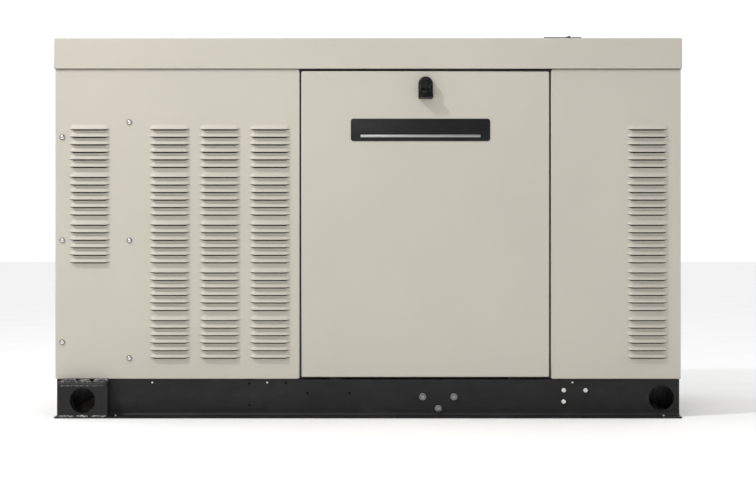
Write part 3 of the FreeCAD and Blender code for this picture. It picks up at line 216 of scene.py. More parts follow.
def finned_core():
    """Black radiator core: close vertical fins crossed by tubes."""
    finish = Finish("finned_core", specular=0.4)
    shade = finish.noise(25.0, detail=4.0)
    finish.colour(finish.ramp(shade, [(0.3, (0.012, 0.012, 0.013)), (0.7, (0.04, 0.04, 0.042))]))
    finish.rough(shade, 0.4, 0.6)
    for direction, scale, height in (("Z", 180.0, 0.0012), ("Y", 32.0, 0.0015)):
        wave = finish.add("ShaderNodeTexWave", bands_direction=direction)
        wave.inputs["Scale"].default_value = scale
        finish.join(finish.place, wave.inputs["Vector"])
        finish.bump(wave.outputs["Fac"], height)
    return finish.material


def heat_stained(name, colour, stain):
    """Aluminised steel with heat colour and streaks."""
    finish = Finish(name, metallic=0.9)
    streak = finish.noise(7.0, detail=8.0, roughness=0.65, place=finish.stretched((1.0, 3.0, 3.0)))
    finish.colour(finish.ramp(streak, [(0.3, stain), (0.55, tint(colour, 0.8)), (0.75, colour)]))
    finish.rough(streak, 0.35, 0.6)
    finish.bump(finish.noise(120.0, detail=4.0), 0.0002)
    return finish.material


STONE = (0.56, 0.527, 0.458)
MATERIALS = {
    "stone_paint": powder_coat("stone_powder_coat", STONE),
    "frame_paint": chassis_paint(),
    "inner_steel": powder_coat("grey_powder_coat", (0.13, 0.13, 0.128), spread=0.12, rough=(0.45, 0.65)),
    "zinc": plated("zinc_plate", (0.72, 0.71, 0.69)),
    "dark_bolt": plated("phosphated_steel", (0.34, 0.33, 0.34), rough=(0.3, 0.45)),
    "seal_rubber": moulded("black_rubber", (0.018, 0.018, 0.018), rough=(0.6, 0.85), height=0.00012),
    "liner_foam": acoustic_foam(),
    "latch_black": moulded("latch_black", (0.0032, 0.0032, 0.0034), rough=(0.2, 0.34), specular=0.3),
    "badge_black": moulded(
        "badge_black", (0.008, 0.008, 0.0085), rough=(0.3, 0.42), grain=2500.0, height=0.00001, specular=0.3),
    "engine_iron": casting("engine_iron", (0.05, 0.052, 0.055)),
    "cast_alloy": casting("cast_alloy", (0.5, 0.5, 0.49), metallic=0.85, height=0.0003, rough=(0.38, 0.6)),
    "pan_black": moulded("black_moulding", (0.02, 0.02, 0.021), rough=(0.35, 0.6), grain=800.0),
    "rusty_iron": casting("rusty_iron", (0.16, 0.1, 0.07), stain=(0.1, 0.045, 0.025)),
    "filter_orange": powder_coat("filter_paint", (0.55, 0.17, 0.03), rough=(0.25, 0.4)),
    "machined_steel": plated("machined_steel", (0.5, 0.5, 0.5), rough=(0.25, 0.45)),
    "yellow_grip": moulded("yellow_grip", (0.75, 0.5, 0.03), rough=(0.3, 0.45)),
    "radiator_black": finned_core(),
    "alloy_cap": plated("alloy_cap", (0.65, 0.65, 0.64), rough=(0.3, 0.45)),
    "exhaust_steel": heat_stained("exhaust_steel", (0.42, 0.4, 0.37), (0.2, 0.13, 0.09)),
    "gas_grey": casting("gas_grey", (0.33, 0.35, 0.37), metallic=0.6, height=0.0002),
    "switch_black": moulded("switch_black", (0.016, 0.016, 0.017), rough=(0.3, 0.45)),
    "stop_red": moulded("stop_red", (0.5, 0.015, 0.012), rough=(0.25, 0.38)),
}
# Weld beads with their glints painted into the colour.
WELD = weld_paint_with_glints()
BADGE_BAR = plated("badge_bar", (0.5, 0.5, 0.5), rough=(0.3, 0.4), spread=0.05)


# ---- Meshes -----------------------------------------------------------------------------------

TURNS = {"front": 0, "right": 90, "rear": 180, "left": 270}


def turn(side):
    """The rotation that carries a piece drawn on the front round to its own side."""
    return Matrix.Rotation(math.radians(TURNS[side]), 4, "Z")


def local_points(node, side):
    """A CAD node's vertices as seen from its own side, with the outward direction as -Y."""
    back = turn(side).inverted()
    return [back @ vertex.co for vertex in nodes[node].data.vertices]


def kept(mesh, name):
    """A finished bmesh as mesh data."""
    data = bpy.data.meshes.new(name)
    mesh.to_mesh(data)
    mesh.free()
    return data


class Skin:
    """A surface under construction, with vertices shared by place."""

    def __init__(self):
        self.mesh = bmesh.new()
        self.known = {}

    def point(self, place):
        key = tuple(round(value * 1e5) for value in place)
        if key not in self.known:
            self.known[key] = self.mesh.verts.new(place)
        return self.known[key]

    def face(self, places, away, smooth=False):
        """A face whose front looks along the given direction."""
        corners = []
        for place in places:
            vertex = self.point(place)
            if vertex not in corners:
                corners.append(vertex)
        if len(corners) < 3:
            return
        made = self.mesh.faces.get(corners) or self.mesh.faces.new(corners)
        made.normal_update()
        if made.normal.dot(away) < 0:
            made.normal_flip()
        made.smooth = smooth

    def finish(self, name):
        return kept(self.mesh, name)


def modified(data, name, *steps):
    """The mesh after its modifiers, so that what is kept is plain geometry."""
    holder = bpy.data.objects.new(name, data)
    bpy.context.scene.collection.objects.link(holder)
    for kind, settings in steps:
        modifier = holder.modifiers.new(kind.lower(), kind)
        for key, value in settings.items():
            setattr(modifier, key, value)
    view = bpy.context.evaluated_depsgraph_get()
    result = bpy.data.meshes.new_from_object(holder.evaluated_get(view))
    bpy.data.objects.remove(holder)
    bpy.data.meshes.remove(data)
    return result


def add_piece(name, data, body, slot, material=None, stands_for=()):
    """A new piece that rides on a body, in its slot's finish or in one of its own."""
    piece = bpy.data.objects.new(name, data)
    bpy.context.scene.collection.objects.link(piece)
    data.materials.clear()
    data.materials.append(material or MATERIALS[slot])
    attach(piece, body)
    if stands_for:
        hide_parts(*stands_for)
    return piece


def joined(parts):
    """One mesh from several, each with a matrix."""
    whole = bmesh.new()
    for data, matrix in parts:
        part = bmesh.new()
        part.from_mesh(data)
        part.transform(matrix)
        scratch = kept(part, "scratch")
        whole.from_mesh(scratch)
        bpy.data.meshes.remove(scratch)
    return kept(whole, "joined")


def slab(low, high, bevel=0.0, segments=3):
    """A box with rounded edges, as a mesh."""
    mesh = bmesh.new()
    size = Vector(high) - Vector(low)
    middle = (Vector(high) + Vector(low)) / 2
    bmesh.ops.create_cube(mesh, size=1.0, matrix=Matrix.Translation(middle) @ Matrix.Diagonal((*size, 1)))
    if bevel:
        bmesh.ops.bevel(
            mesh, geom=mesh.edges[:], offset=bevel, segments=segments, affect="EDGES", profile=0.5)
    for face in mesh.faces:
        face.smooth = True
    return kept(mesh, "slab")


def turned(profile, steps=48):
    """A closed solid of revolution about Z from (radius, height) points, ends on the axis."""
    skin = Skin()
    for (r0, h0), (r1, h1) in zip(profile, profile[1:]):
        for n in range(steps):
            a, b = 2 * math.pi * n / steps, 2 * math.pi * (n + 1) / steps
            ring = [(r0, a, h0), (r0, b, h0), (r1, b, h1), (r1, a, h1)]
            places = [(r * math.cos(t), r * math.sin(t), z) for r, t, z in ring]
            middle = (a + b) / 2
            slope = Vector(((h1 - h0) * math.cos(middle), (h1 - h0) * math.sin(middle), -(r1 - r0)))
            skin.face(places, slope, smooth=True)
    data = skin.finish("turned")
    data.set_sharp_from_angle(angle=math.radians(40))
    return data


def islands(node):
    """The box of each separate solid in a CAD node."""
    data = nodes[node].data
    keys = [tuple(round(c * 2e5) for c in vertex.co) for vertex in data.vertices]
    parent = {key: key for key in keys}

    def root(key):
        while parent[key] != key:
            parent[key] = parent[parent[key]]
            key = parent[key]
        return key

    for polygon in data.polygons:
        first = root(keys[polygon.vertices[0]])
        for index in polygon.vertices[1:]:
            parent[root(keys[index])] = first
    groups = {}
    for key, vertex in zip(keys, data.vertices):
        groups.setdefault(root(key), []).append(vertex.co)
    return [(Vector(map(min, *group)), Vector(map(max, *group))) for group in groups.values()]


# ---- Formed sheet-metal panels ----------------------------------------------------------------

# A louvre's hood rises by HOOD_HIGH from its lip and stands out by HOOD_OUT there. Its slit opens
# SLIT below the lip, and one row of louvres is a PITCH above the next. The CAD hoods stand out by
# CAD_HOOD, and each louvre reaches CREST_INSET past its crest at either end.
SHEET = 0.0018
BEND = 0.003
BEND_STEPS = 4
LOUVRE_END = 0.020
END_STEPS = 8
HOOD_STEPS = 8
HOOD_HIGH = 0.0168
HOOD_OUT = 0.0105
CAD_HOOD = 0.011
CREST_INSET = 0.012
PITCH = 0.0235
SLIT = 0.0046
SLIT_SIDE = 0.006
OUT = Vector((0, -1, 0))


def bend_profile(depth):
    """Offsets (along, inward) round a folded edge, from the flat out to the flange's end."""
    points = []
    for n in range(BEND_STEPS + 1):
        angle = math.pi / 2 * n / BEND_STEPS
        points.append((BEND * math.sin(angle), BEND * (1 - math.cos(angle))))
    points.append((BEND, depth))
    return points


def paired(values):
    """Neighbouring values two by two."""
    ordered = sorted(values)
    return list(zip(ordered[::2], ordered[1::2]))


def louvre_columns(points, crest, rise):
    """[(centre x, half width, [lip z])] read from the outermost vertices of the CAD hoods."""
    outer = [p for p in points if abs(p.y - crest) < 0.0001]
    columns = []
    for left, right in paired(set(round(p.x, 4) for p in outer)):
        heights = set(round(p.z, 4) for p in outer if abs(p.x - left) < 0.001)
        lips = [pair[0] if rise > 0 else pair[1] for pair in paired(heights)]
        columns.append(((left + right) / 2, (right - left) / 2 + CREST_INSET, lips))
    return columns


def slice_lines(half):
    """Cuts across one louvre: (offset from its centre, height there, how far it stands out)."""
    left = []
    for n in range(END_STEPS + 1):
        share = 1 - math.cos(math.pi / 2 * n / END_STEPS)
        height = math.sqrt(1 - (1 - share) ** 2)
        left.append((share * LOUVRE_END - half, height, share * share * (3 - 2 * share)))
    return left + [(-offset, height, out) for offset, height, out in reversed(left)]


def hood_shape(t):
    """How far the hood stands out, from 1 at its lip to 0 where it blends into the sheet."""
    return 1 - 1.5 * t + 0.5 * t ** 3


def louvre_slice(skin, face, lip, rise, pair, ends):
    """The part of one louvre cell between two of its cuts: hood, slit edge and the flat round it."""
    hood_end, slit_end = ends
    (x0, h0, out0), (x1, h1, out1) = pair
    top0, top1 = (x0, face, lip + rise * HOOD_HIGH * h0), (x1, face, lip + rise * HOOD_HIGH * h1)
    low0, low1 = (x0, face, lip - rise * SLIT * out0), (x1, face, lip - rise * SLIT * out1)
    skin.face([top0, top1, (x1, face, hood_end), (x0, face, hood_end)], OUT)
    skin.face([low0, low1, (x1, face, slit_end), (x0, face, slit_end)], OUT)
    for n in range(HOOD_STEPS):
        ring = []
        for (x, height, out), step in ((pair[0], n), (pair[1], n), (pair[1], n + 1), (pair[0], n + 1)):
            t = step / HOOD_STEPS
            depth = rise * HOOD_OUT * out * hood_shape(t)
            ring.append((x, face - depth, lip + rise * HOOD_HIGH * height * t))
        skin.face(ring, OUT, smooth=True)


def formed_panel(name, node, side, body, folds, pressed_out=True):
    """A folded sheet with its louvres pressed in, built over the CAD panel."""
    points = local_points(node, side)
    nearest = min(p.y for p in points)
    rise = 1 if pressed_out else -1
    hooded = pressed_out and sum(abs(p.y - nearest - CAD_HOOD) < 0.0001 for p in points) > 100
    face = nearest + CAD_HOOD if hooded else nearest
    crest = face - rise * CAD_HOOD
    columns = louvre_columns(points, crest, rise) if hooded or not pressed_out else []
    flat = [p for p in points if abs(p.y - face) < 0.0001]
    edges = {
        "left": min(p.x for p in flat), "right": max(p.x for p in flat),
        "bottom": min(p.z for p in flat), "top": max(p.z for p in flat),
    }
    inner = {key: value + BEND * (key in folds) * (1 if key in ("left", "bottom") else -1)
             for key, value in edges.items()}
    below = SLIT_SIDE if rise > 0 else PITCH - SLIT_SIDE
    cuts = [inner["left"], inner["right"]]
    cells = {}
    for centre, half, lips in columns:
        lines = [(centre + offset, height, out) for offset, height, out in slice_lines(half)]
        cuts += [line[0] for line in lines]
        for lip in lips:
            cells.setdefault(round(lip - below, 5), []).append((lines, lip))
    cuts = sorted(set(round(x, 6) for x in cuts))
    heights = {round(inner["bottom"], 5), round(inner["top"], 5)}
    for z in cells:
        heights |= {z, round(z + PITCH, 5)}
    heights = sorted(heights)
    rows = [heights[0]] + [z for last, z in zip(heights, heights[1:]) if z - last > 0.0002]

    skin = Skin()
    for low, high in zip(rows, rows[1:]):
        here = cells.get(low, [])
        spans = set()
        for lines, lip in here:
            ends = (high, low) if rise > 0 else (low, high)
            for pair in zip(lines, lines[1:]):
                spans.add(round(pair[0][0], 6))
                louvre_slice(skin, face, lip, rise, pair, ends)
        edge_lips = {round(lines[end][0], 6): lip for lines, lip in here for end in (0, -1)}
        for x0, x1 in zip(cuts, cuts[1:]):
            if x0 in spans:
                continue
            ring = [(x0, face, low), (x1, face, low)]
            ring += [(x1, face, edge_lips[x1])] if x1 in edge_lips else []
            ring += [(x1, face, high), (x0, face, high)]
            ring += [(x0, face, edge_lips[x0])] if x0 in edge_lips else []
            skin.face(ring, OUT)
    for key, depth in folds.items():
        fold_edge(skin, key, inner, face, depth, cuts if key in ("top", "bottom") else rows)
    data = modified(skin.finish(name), name, ("SOLIDIFY", {"thickness": SHEET, "offset": -1.0}))
    data.transform(turn(side))
    return add_piece(name, data, body, "stone_paint", stands_for=[node])


def fold_edge(skin, key, inner, face, depth, lines):
    """A rounded fold and flange along one edge of a panel."""
    sign = 1 if key in ("right", "top") else -1
    upright = key in ("left", "right")
    away = Vector((sign, -0.5, 0)) if upright else Vector((0, -0.5, sign))
    profile = bend_profile(depth)
    for (a0, d0), (a1, d1) in zip(profile, profile[1:]):
        for s0, s1 in zip(lines, lines[1:]):
            ring = []
            for along, inward, s in ((a0, d0, s0), (a0, d0, s1), (a1, d1, s1), (a1, d1, s0)):
                edge = inner[key] + sign * along
                ring.append((edge, face + inward, s) if upright else (s, face + inward, edge))
            skin.face(ring, away, smooth=True)


def side_skins():
    """The louvred panels of all four sides, folded where they meet the roof, the base and the door."""
    shelf, deep = 0.020, 0.025
    plain = {"top": shelf, "bottom": shelf}
    panels = [("intake_skin_front", "front_left_panel", "front", {"right": deep}),
              ("outlet_skin_front", "front_right_panel", "front", {"left": deep}),
              ("intake_skin_rear", "rear_left_panel", "rear", {"left": deep}),
              ("outlet_skin_rear", "rear_right_panel", "rear", {"right": deep}),
              ("access_skin_rear", "rear_access_panel", "rear", {"left": deep, "right": deep})]
    for name, node, side, seams in panels:
        formed_panel(name, node, side, "enclosure", folds={**plain, **seams})
    for side in ("left", "right"):
        node = f"{side}_end_panel"
        formed_panel(f"{side}_end_skin", node, side, "enclosure", pressed_out=False, folds=plain)


def louvre_foam_shade_backing():
    """Dark foam pads that stand off behind the louvres and hide the machinery; they also stand in for the
    shade inside, so that the slits read dark.
    """
    intake, outlet = ((0.0, 0.21), (0.26, 0.72)), ((0.03, 0.38),)
    pads = [("front_left_panel", -1, intake), ("front_right_panel", -1, outlet),
            ("rear_left_panel", 1, intake), ("rear_right_panel", 1, outlet)]
    margin, gap, thick = 0.030, 0.030, 0.005
    parts = []
    for node, sign, spans in pads:
        low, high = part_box(node)
        face = -low.y if sign < 0 else high.y
        for start, end in spans:
            left = max(low.x + start, low.x + margin)
            right = min(low.x + end, high.x - margin)
            near, far = sorted((sign * (face - gap), sign * (face - gap - thick)))
            pad = slab((left, near, low.z + margin), (right, far, high.z - margin), bevel=0.001)
            parts.append((pad, Matrix()))
    # The dark pads paint in the shade behind the slits.
    add_piece("louvre_foam_shade_backing", joined(parts), "enclosure", "liner_foam")


# ---- Roof -------------------------------------------------------------------------------------

ROOF_BEND = 0.004


def roof_skin():
    """A folded tray with rounded corners and a hole for the filler hatch."""
    low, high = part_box("roof")
    top = nodes["roof"].data.vertices
    inside = [v.co for v in top if abs(v.co.z - high.z) < 0.0001 and abs(v.co.x) < 0.9 and abs(v.co.y) < 0.37]
    xs = [low.x, min(p.x for p in inside), max(p.x for p in inside), high.x]
    ys = [low.y, min(p.y for p in inside), max(p.y for p in inside), high.y]
    skin = Skin()
    up = Vector((0, 0, 1))
    for i in range(3):
        for j in range(3):
            if (i, j) == (1, 1):
                continue
            corners = [(xs[i], ys[j]), (xs[i + 1], ys[j]), (xs[i + 1], ys[j + 1]), (xs[i], ys[j + 1])]
            skin.face([(x, y, high.z) for x, y in corners], up)
    walls = [((low.x, y0), (low.x, y1), Vector((-1, 0, 0))) for y0, y1 in zip(ys, ys[1:])]
    walls += [((high.x, y0), (high.x, y1), Vector((1, 0, 0))) for y0, y1 in zip(ys, ys[1:])]
    walls += [((x0, low.y), (x1, low.y), Vector((0, -1, 0))) for x0, x1 in zip(xs, xs[1:])]
    walls += [((x0, high.y), (x1, high.y), Vector((0, 1, 0))) for x0, x1 in zip(xs, xs[1:])]
    for (x0, y0), (x1, y1), away in walls:
        skin.face([(x0, y0, low.z), (x1, y1, low.z), (x1, y1, high.z), (x0, y0, high.z)], away)
    mesh = skin.mesh
    folded = [e for e in mesh.edges if len(e.link_faces) == 2 and e.calc_face_angle(0) > 1]
    bmesh.ops.bevel(mesh, geom=folded, offset=ROOF_BEND, segments=5, affect="EDGES", profile=0.5)
    for face in mesh.faces:
        face.smooth = min(abs(abs(c) - 1) for c in face.normal) > 0.001
    data = modified(skin.finish("roof_skin"), "roof_skin", ("SOLIDIFY", {"thickness": SHEET, "offset": -1.0}))
    add_piece("roof_skin", data, "enclosure", "stone_paint", stands_for=["roof"])


# ---- Door -------------------------------------------------------------------------------------


def door_skin():
    """The door's sheet with a fold on all four edges, and the hooks it hangs on."""
    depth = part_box("front_door")[1].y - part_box("front_door")[0].y
    folds = {key: depth for key in ("left", "right", "top", "bottom")}
    formed_panel("door_skin", "front_door", "front", "front_door", folds=folds)
    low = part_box("front_door")[0]
    flat_low = min(v.co.z for v in nodes["front_door"].data.vertices if abs(v.co.y - low.y) < 0.0001)
    hook = [v.co for v in nodes["front_door"].data.vertices if v.co.z < flat_low - 0.0001]
    for number, (x0, x1) in enumerate(paired(set(round(p.x, 4) for p in hook))):
        near, far = min(p.y for p in hook), max(p.y for p in hook)
        data = slab((x0, near, low.z), (x1, far, flat_low + 0.001), bevel=0.0008)
        add_piece(f"door_hook_{number}", data, "front_door", "frame_paint")


def rounded_outline(half, low, high, corner, top_radius, steps=10):
    """An outline in (x, z): square foot with small corners, and a round or cornered head."""
    places = []
    centres = [
        (half - corner, low + corner, -90, corner),
        (half - top_radius, high - top_radius, 0, top_radius),
        (top_radius - half, high - top_radius, 90, top_radius),
        (corner - half, low + corner, 180, corner),
    ]
    for x, z, start, radius in centres:
        for n in range(steps + 1):
            angle = math.radians(start + 90 * n / steps)
            places.append((x + radius * math.cos(angle), z + radius * math.sin(angle)))
    return places


def raised_plate(outline, centre_x, near, far, bevel, segments=3):
    """An outline extruded from y=near out to y=far, its front edge rounded."""
    mesh = bmesh.new()
    back = [mesh.verts.new((centre_x + x, near, z)) for x, z in outline]
    bottom = mesh.faces.new(back)
    made = bmesh.ops.extrude_face_region(mesh, geom=[bottom])
    front = [v for v in made["geom"] if isinstance(v, bmesh.types.BMVert)]
    bmesh.ops.translate(mesh, verts=front, vec=(0, far - near, 0))
    bmesh.ops.remove_doubles(mesh, verts=mesh.verts[:], dist=0.00001)
    rim = [e for e in mesh.edges if all(abs(v.co.y - far) < 1e-6 for v in e.verts)]
    bmesh.ops.bevel(mesh, geom=rim, offset=bevel, segments=segments, affect="EDGES", profile=0.5)
    bmesh.ops.recalc_face_normals(mesh, faces=mesh.faces[:])
    for face in mesh.faces:
        face.smooth = True
    data = kept(mesh, "raised")
    data.set_sharp_from_angle(angle=math.radians(35))
    return data


def facing_front(data, x, y, z):
    """Stand a piece drawn along +Z so that it points at the front, from (x, y, z)."""
    data.transform(Matrix.Translation((x, y, z)) @ Matrix.Rotation(math.radians(90), 4, "X"))
    return data


def door_badge():
    """A blank plate with rounded edges and one plain bar."""
    low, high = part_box("door_badge")
    middle = (low.x + high.x) / 2
    half = (high.x - low.x) / 2
    thick = (high.y - low.y) / 2
    outline = rounded_outline(half, low.z, high.z, 0.008, 0.008)
    plate = raised_plate(outline, middle, high.y, high.y - thick, 0.0008)
    add_piece("badge_plate", plate, "front_door", "badge_black", stands_for=["door_badge"])
    bar = rounded_outline(half - 0.030, low.z + 0.012, low.z + 0.020, 0.002, 0.002)
    data = raised_plate(bar, middle, high.y - thick, low.y, 0.0006)
    add_piece("badge_bar", data, "front_door", "badge_black", material=BADGE_BAR)


def latch():
    """The moulded plate, the quarter-turn spindle, its key cover and the ribbed fold-out lever."""
    low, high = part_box("latch_housing")
    x = (low.x + high.x) / 2
    half = (high.x - low.x) / 2
    skin_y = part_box("front_door")[0].y
    outline = rounded_outline(half, low.z, high.z, 0.004, half - 0.0005)
    plate = raised_plate(outline, x, skin_y, low.y, 0.0028, segments=4)
    add_piece("latch_plate", plate, "front_door", "latch_black", stands_for=["latch_housing"])
    z = high.z - half
    latch_spindle(x, low.y - 0.0003, z)
    key_cover(x, z + 0.001)
    lever_grip(x, half + 0.0004)


def latch_spindle(x, seat, z):
    """The boss with its dished ring of dimples, the fork and its pin, the shaft and the cam."""
    low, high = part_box("latch_spindle")
    radius = 0.018
    face = seat - low.y - 0.0032
    lip = radius - 0.0032
    profile = [
        (0, 0), (radius - 0.001, 0), (radius, 0.0012), (radius, face - 0.0012),
        (radius - 0.0004, face - 0.0004), (radius - 0.0012, face),
        (lip + 0.0008, face), (lip, face - 0.0006), (lip - 0.0006, face - 0.0022),
        (lip - 0.0042, face - 0.0022), (lip - 0.0048, face - 0.0006), (lip - 0.0056, face), (0, face),
    ]
    parts = [(turned(profile), Matrix())]
    dimple = [(0, 0), (0.0011, 0), (0.0009, 0.0009), (0, 0.0013)]
    dimple_ring = lip - 0.0024
    for n in range(12):
        angle = math.radians(30 * n + 15)
        spot = (dimple_ring * math.cos(angle), dimple_ring * math.sin(angle), face - 0.0023)
        parts.append((turned(dimple, steps=12), Matrix.Translation(spot)))
    proud = seat - low.y - face
    stub = [(0, 0), (0.002, 0), (0.002, proud - 0.0002), (0.0016, proud), (0, proud)]
    parts.append((turned(stub, steps=24), Matrix.Translation((0, 0.012, face))))

    foot = low.z - z
    for sign in (-1, 1):
        ear = slab((sign * 0.014 - 0.0025, foot, 0), (sign * 0.014 + 0.0025, -0.008, 0.0157), bevel=0.0012)
        parts.append((ear, Matrix()))
    parts.append((cross_pin(0.0025, 0.016, 0.0003, steps=24), Matrix.Translation((0, foot + 0.005, 0.0107))))

    back = seat - high.y
    shaft = [(0, back), (0.0064, back), (0.007, back + 0.0006), (0.007, 0.0005), (0, 0.0005)]
    parts.append((turned(shaft, steps=32), Matrix()))
    cam = slab((-0.009, -0.009, back + 0.006), (high.x - x, 0.009, back + 0.009), bevel=0.0008)
    parts.append((cam, Matrix()))
    spindle = facing_front(joined(parts), x, seat, z)
    add_piece("latch_boss", spindle, "latch_spindle", "latch_black", stands_for=["latch_spindle"])


def cross_pin(radius, half, chamfer, steps):
    """A chamfered pin along X, centred on the origin."""
    pin = turned([(0, -half), (radius - chamfer, -half), (radius, chamfer - half), (radius, half - chamfer),
                  (radius - chamfer, half), (0, half)], steps=steps)
    pin.transform(Matrix.Rotation(math.pi / 2, 4, "Y"))
    return pin


def key_cover(x, z):
    """A small disc over the key barrel, swinging on an eye above it."""
    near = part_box("latch_key_cover")[1].y
    disc = turned([
        (0, 0), (0.0088, 0), (0.009, 0.0008), (0.0084, 0.0017), (0.0068, 0.0021),
        (0.0064, 0.0015), (0.0056, 0.0015), (0.0052, 0.0021), (0, 0.0022),
    ])
    eye = turned([(0, 0), (0.004, 0), (0.004, 0.0016), (0.0033, 0.0022), (0, 0.0022)], steps=24)
    arm = slab((-0.0034, 0.006, 0.0002), (0.0034, 0.012, 0.0019), bevel=0.0005)
    parts = [(disc, Matrix()), (arm, Matrix()), (eye, Matrix.Translation((0, 0.011, 0)))]
    cover = facing_front(joined(parts), x, near, z)
    add_piece("key_cover_disc", cover, "latch_key_cover", "latch_black", stands_for=["latch_key_cover"])


def lever_grip(x, half):
    """The lever: a knuckle on the fork's pin, a short arm and four finger ribs at its lower end."""
    low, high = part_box("latch_lever")
    knuckle = 0.0055
    pin = Vector((x, low.y + 0.013, high.z - knuckle))
    arm = Vector((0.0108, 0.0058, 0.0045))
    middle = Vector((x, low.y + 0.01325, pin.z - arm.z))
    parts = [(slab(middle - arm, middle + arm, bevel=0.0006), Matrix()),
             (cross_pin(knuckle, arm.x, 0.0005, steps=32), Matrix.Translation(pin))]
    tall = (high.z - 0.012 - low.z) / 4
    for n in range(4):
        foot = low.z + n * tall
        corner = Vector((x - half, low.y, foot + 0.0006))
        parts.append((slab(corner, (x + half, high.y, foot + tall - 0.0006), bevel=0.0018), Matrix()))
    inset = 0.0022
    core_low = (x - half + inset, low.y + inset, low.z + inset)
    core_high = (x + half - inset, high.y, low.z + 4 * tall - inset)
    parts.append((slab(core_low, core_high, bevel=0.001), Matrix()))
    add_piece("lever_grip", joined(parts), "latch_lever", "latch_black", stands_for=["latch_lever"])


# ---- Fasteners and welds ----------------------------------------------------------------------


def hex_head(across, high):
    """A chamfered hex head standing on z = 0."""
    mesh = bmesh.new()
    bmesh.ops.create_cone(mesh, cap_ends=True, segments=6, radius1=across / 2, radius2=across / 2, depth=high,
                          matrix=Matrix.Translation((0, 0, high / 2)))
    top = [e for e in mesh.edges if all(v.co.z > high - 1e-6 for v in e.verts)]
    bmesh.ops.bevel(mesh, geom=top, offset=across * 0.1, segments=2, affect="EDGES", profile=0.5)
    return kept(mesh, "hex")


def washer(inner, outer, high):
    """A pressed ring with a rounded rim, standing on z = 0."""
    rim = high * 0.4
    profile = [
        (0, 0), (outer, 0), (outer, high - rim), (outer - rim * 0.3, high - rim * 0.3),
        (outer - rim, high), (inner + rim, high), (inner, high * 0.55), (0, high * 0.5),
    ]
    return turned(profile, steps=36)


def domed_head(radius, high):
    """A pan head standing on z = 0, and the cross on its crown."""
    dome = turned([(0, 0), (radius, 0), (radius, high * 0.35), (radius * 0.94, high * 0.62),
                   (radius * 0.75, high * 0.86), (radius * 0.4, high), (0, high)], steps=32)
    corner = Vector((radius * 0.45, radius * 0.09, high * 0.025))
    middle = Vector((0, 0, high * 0.995))
    blades = []
    for turned_by in (0, 90):
        blade = slab(middle - corner, middle + corner)
        blades.append((blade, Matrix.Rotation(math.radians(turned_by), 4, "Z")))
    return dome, joined(blades)


def seat_of(low, high, proud):
    """Where a fastener's head sits: its place, with +Z pointing out of the metal."""
    middle = (low + high) / 2
    size = high - low
    if size.y > size.z * 0.9 and abs(size.x - size.y) < 0.001 and size.z < size.x:
        return Matrix.Translation((middle.x, middle.y, high.z - proud))
    front = middle.y < 0
    face = low.y + proud if front else high.y - proud
    facing = Matrix.Rotation(math.radians(90 if front else -90), 4, "X")
    return Matrix.Translation((middle.x, face, middle.z)) @ facing


def fasteners():
    """Detailed heads over the CAD screws and bolts, one for each solid."""
    domes, crosses, cups = [], [], []
    for number, (low, high) in enumerate(islands("panel_screws")):
        radius = (high.x - low.x) / 2
        seat = seat_of(low, high, 0.0045) @ Matrix.Rotation(math.radians(31 * number), 4, "Z")
        dome, cross = domed_head(radius * 0.72, 0.0045)
        domes.append((dome, seat))
        crosses.append((cross, seat))
        # The washers' dark finish also paints in the shade ring round each head.
        cups.append((washer(radius * 0.74, radius, 0.0016), seat))
    add_piece("panel_screw_heads", joined(domes), "enclosure", "zinc", stands_for=["panel_screws"])
    add_piece("panel_screw_crosses", joined(crosses), "enclosure", "zinc")
    add_piece("panel_screw_washers_and_shade_rings", joined(cups), "enclosure", "dark_bolt")

    small, large = [], []
    for number, (low, high) in enumerate(islands("rail_screws")):
        radius = (high.x - low.x) / 2
        spin = Matrix.Rotation(math.radians(37 * number), 4, "Z")
        if radius > 0.008:
            seat = seat_of(low, high, 0.007)
            large.append((hex_head(radius * 1.75, 0.0065), seat @ spin))
        else:
            seat = seat_of(low, high, 0.004)
            small.append((hex_head(radius * 0.95, 0.004), seat @ spin))
    add_piece("rail_bolt_heads", joined(large), "enclosure", "zinc", stands_for=["rail_screws"])
    add_piece("rail_screw_heads", joined(small), "enclosure", "zinc")

    dark = []
    for number, (low, high) in enumerate(islands("rail_bolts")):
        radius = (high.x - low.x) / 2
        seat = seat_of(low, high, 0.009)
        dark.append((washer(radius * 0.66, radius, 0.003), seat))
        spin = Matrix.Rotation(math.radians(19 + 41 * number), 4, "Z")
        dark.append((hex_head(radius * 1.15, 0.0088), seat @ spin))
    add_piece("rail_bolt_sets", joined(dark), "enclosure", "dark_bolt", stands_for=["rail_bolts"])


# ---- Base details -----------------------------------------------------------------------------


def swept(outline, start, end):
    """A closed (y, z) outline carried along X."""
    skin = Skin()
    middle = sum((Vector((0, y, z)) for y, z in outline), Vector()) / len(outline)
    for (y0, z0), (y1, z1) in zip(outline, outline[1:] + outline[:1]):
        away = Vector((0, (y0 + y1) / 2, (z0 + z1) / 2)) - middle
        skin.face([(start, y0, z0), (end, y0, z0), (end, y1, z1), (start, y1, z1)], away, smooth=True)
    skin.face([(start, y, z) for y, z in outline], Vector((-1, 0, 0)))
    skin.face([(end, y, z) for y, z in outline], Vector((1, 0, 0)))
    data = skin.finish("swept")
    data.set_sharp_from_angle(angle=math.radians(40))
    return data


def rail_bends():
    """The inside radius where each rail's web turns out into its foot."""
    radius = 0.010
    wall = 0.005
    for node, sign in (("front_rail", -1), ("rear_rail", 1)):
        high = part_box(node)[1]
        web = max(abs(v.co.y) for v in nodes[node].data.vertices if v.co.z > high.z - 0.001)
        outline = [(sign * web, wall)]
        for n in range(9):
            angle = math.radians(90 * n / 8)
            y = web + radius * (1 - math.sin(angle))
            outline.append((sign * y, wall + radius * (1 - math.cos(angle))))
        data = swept(outline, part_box("lifting_brackets")[1].x, high.x)
        add_piece(f"{node}_bend", data, "enclosure", "frame_paint")


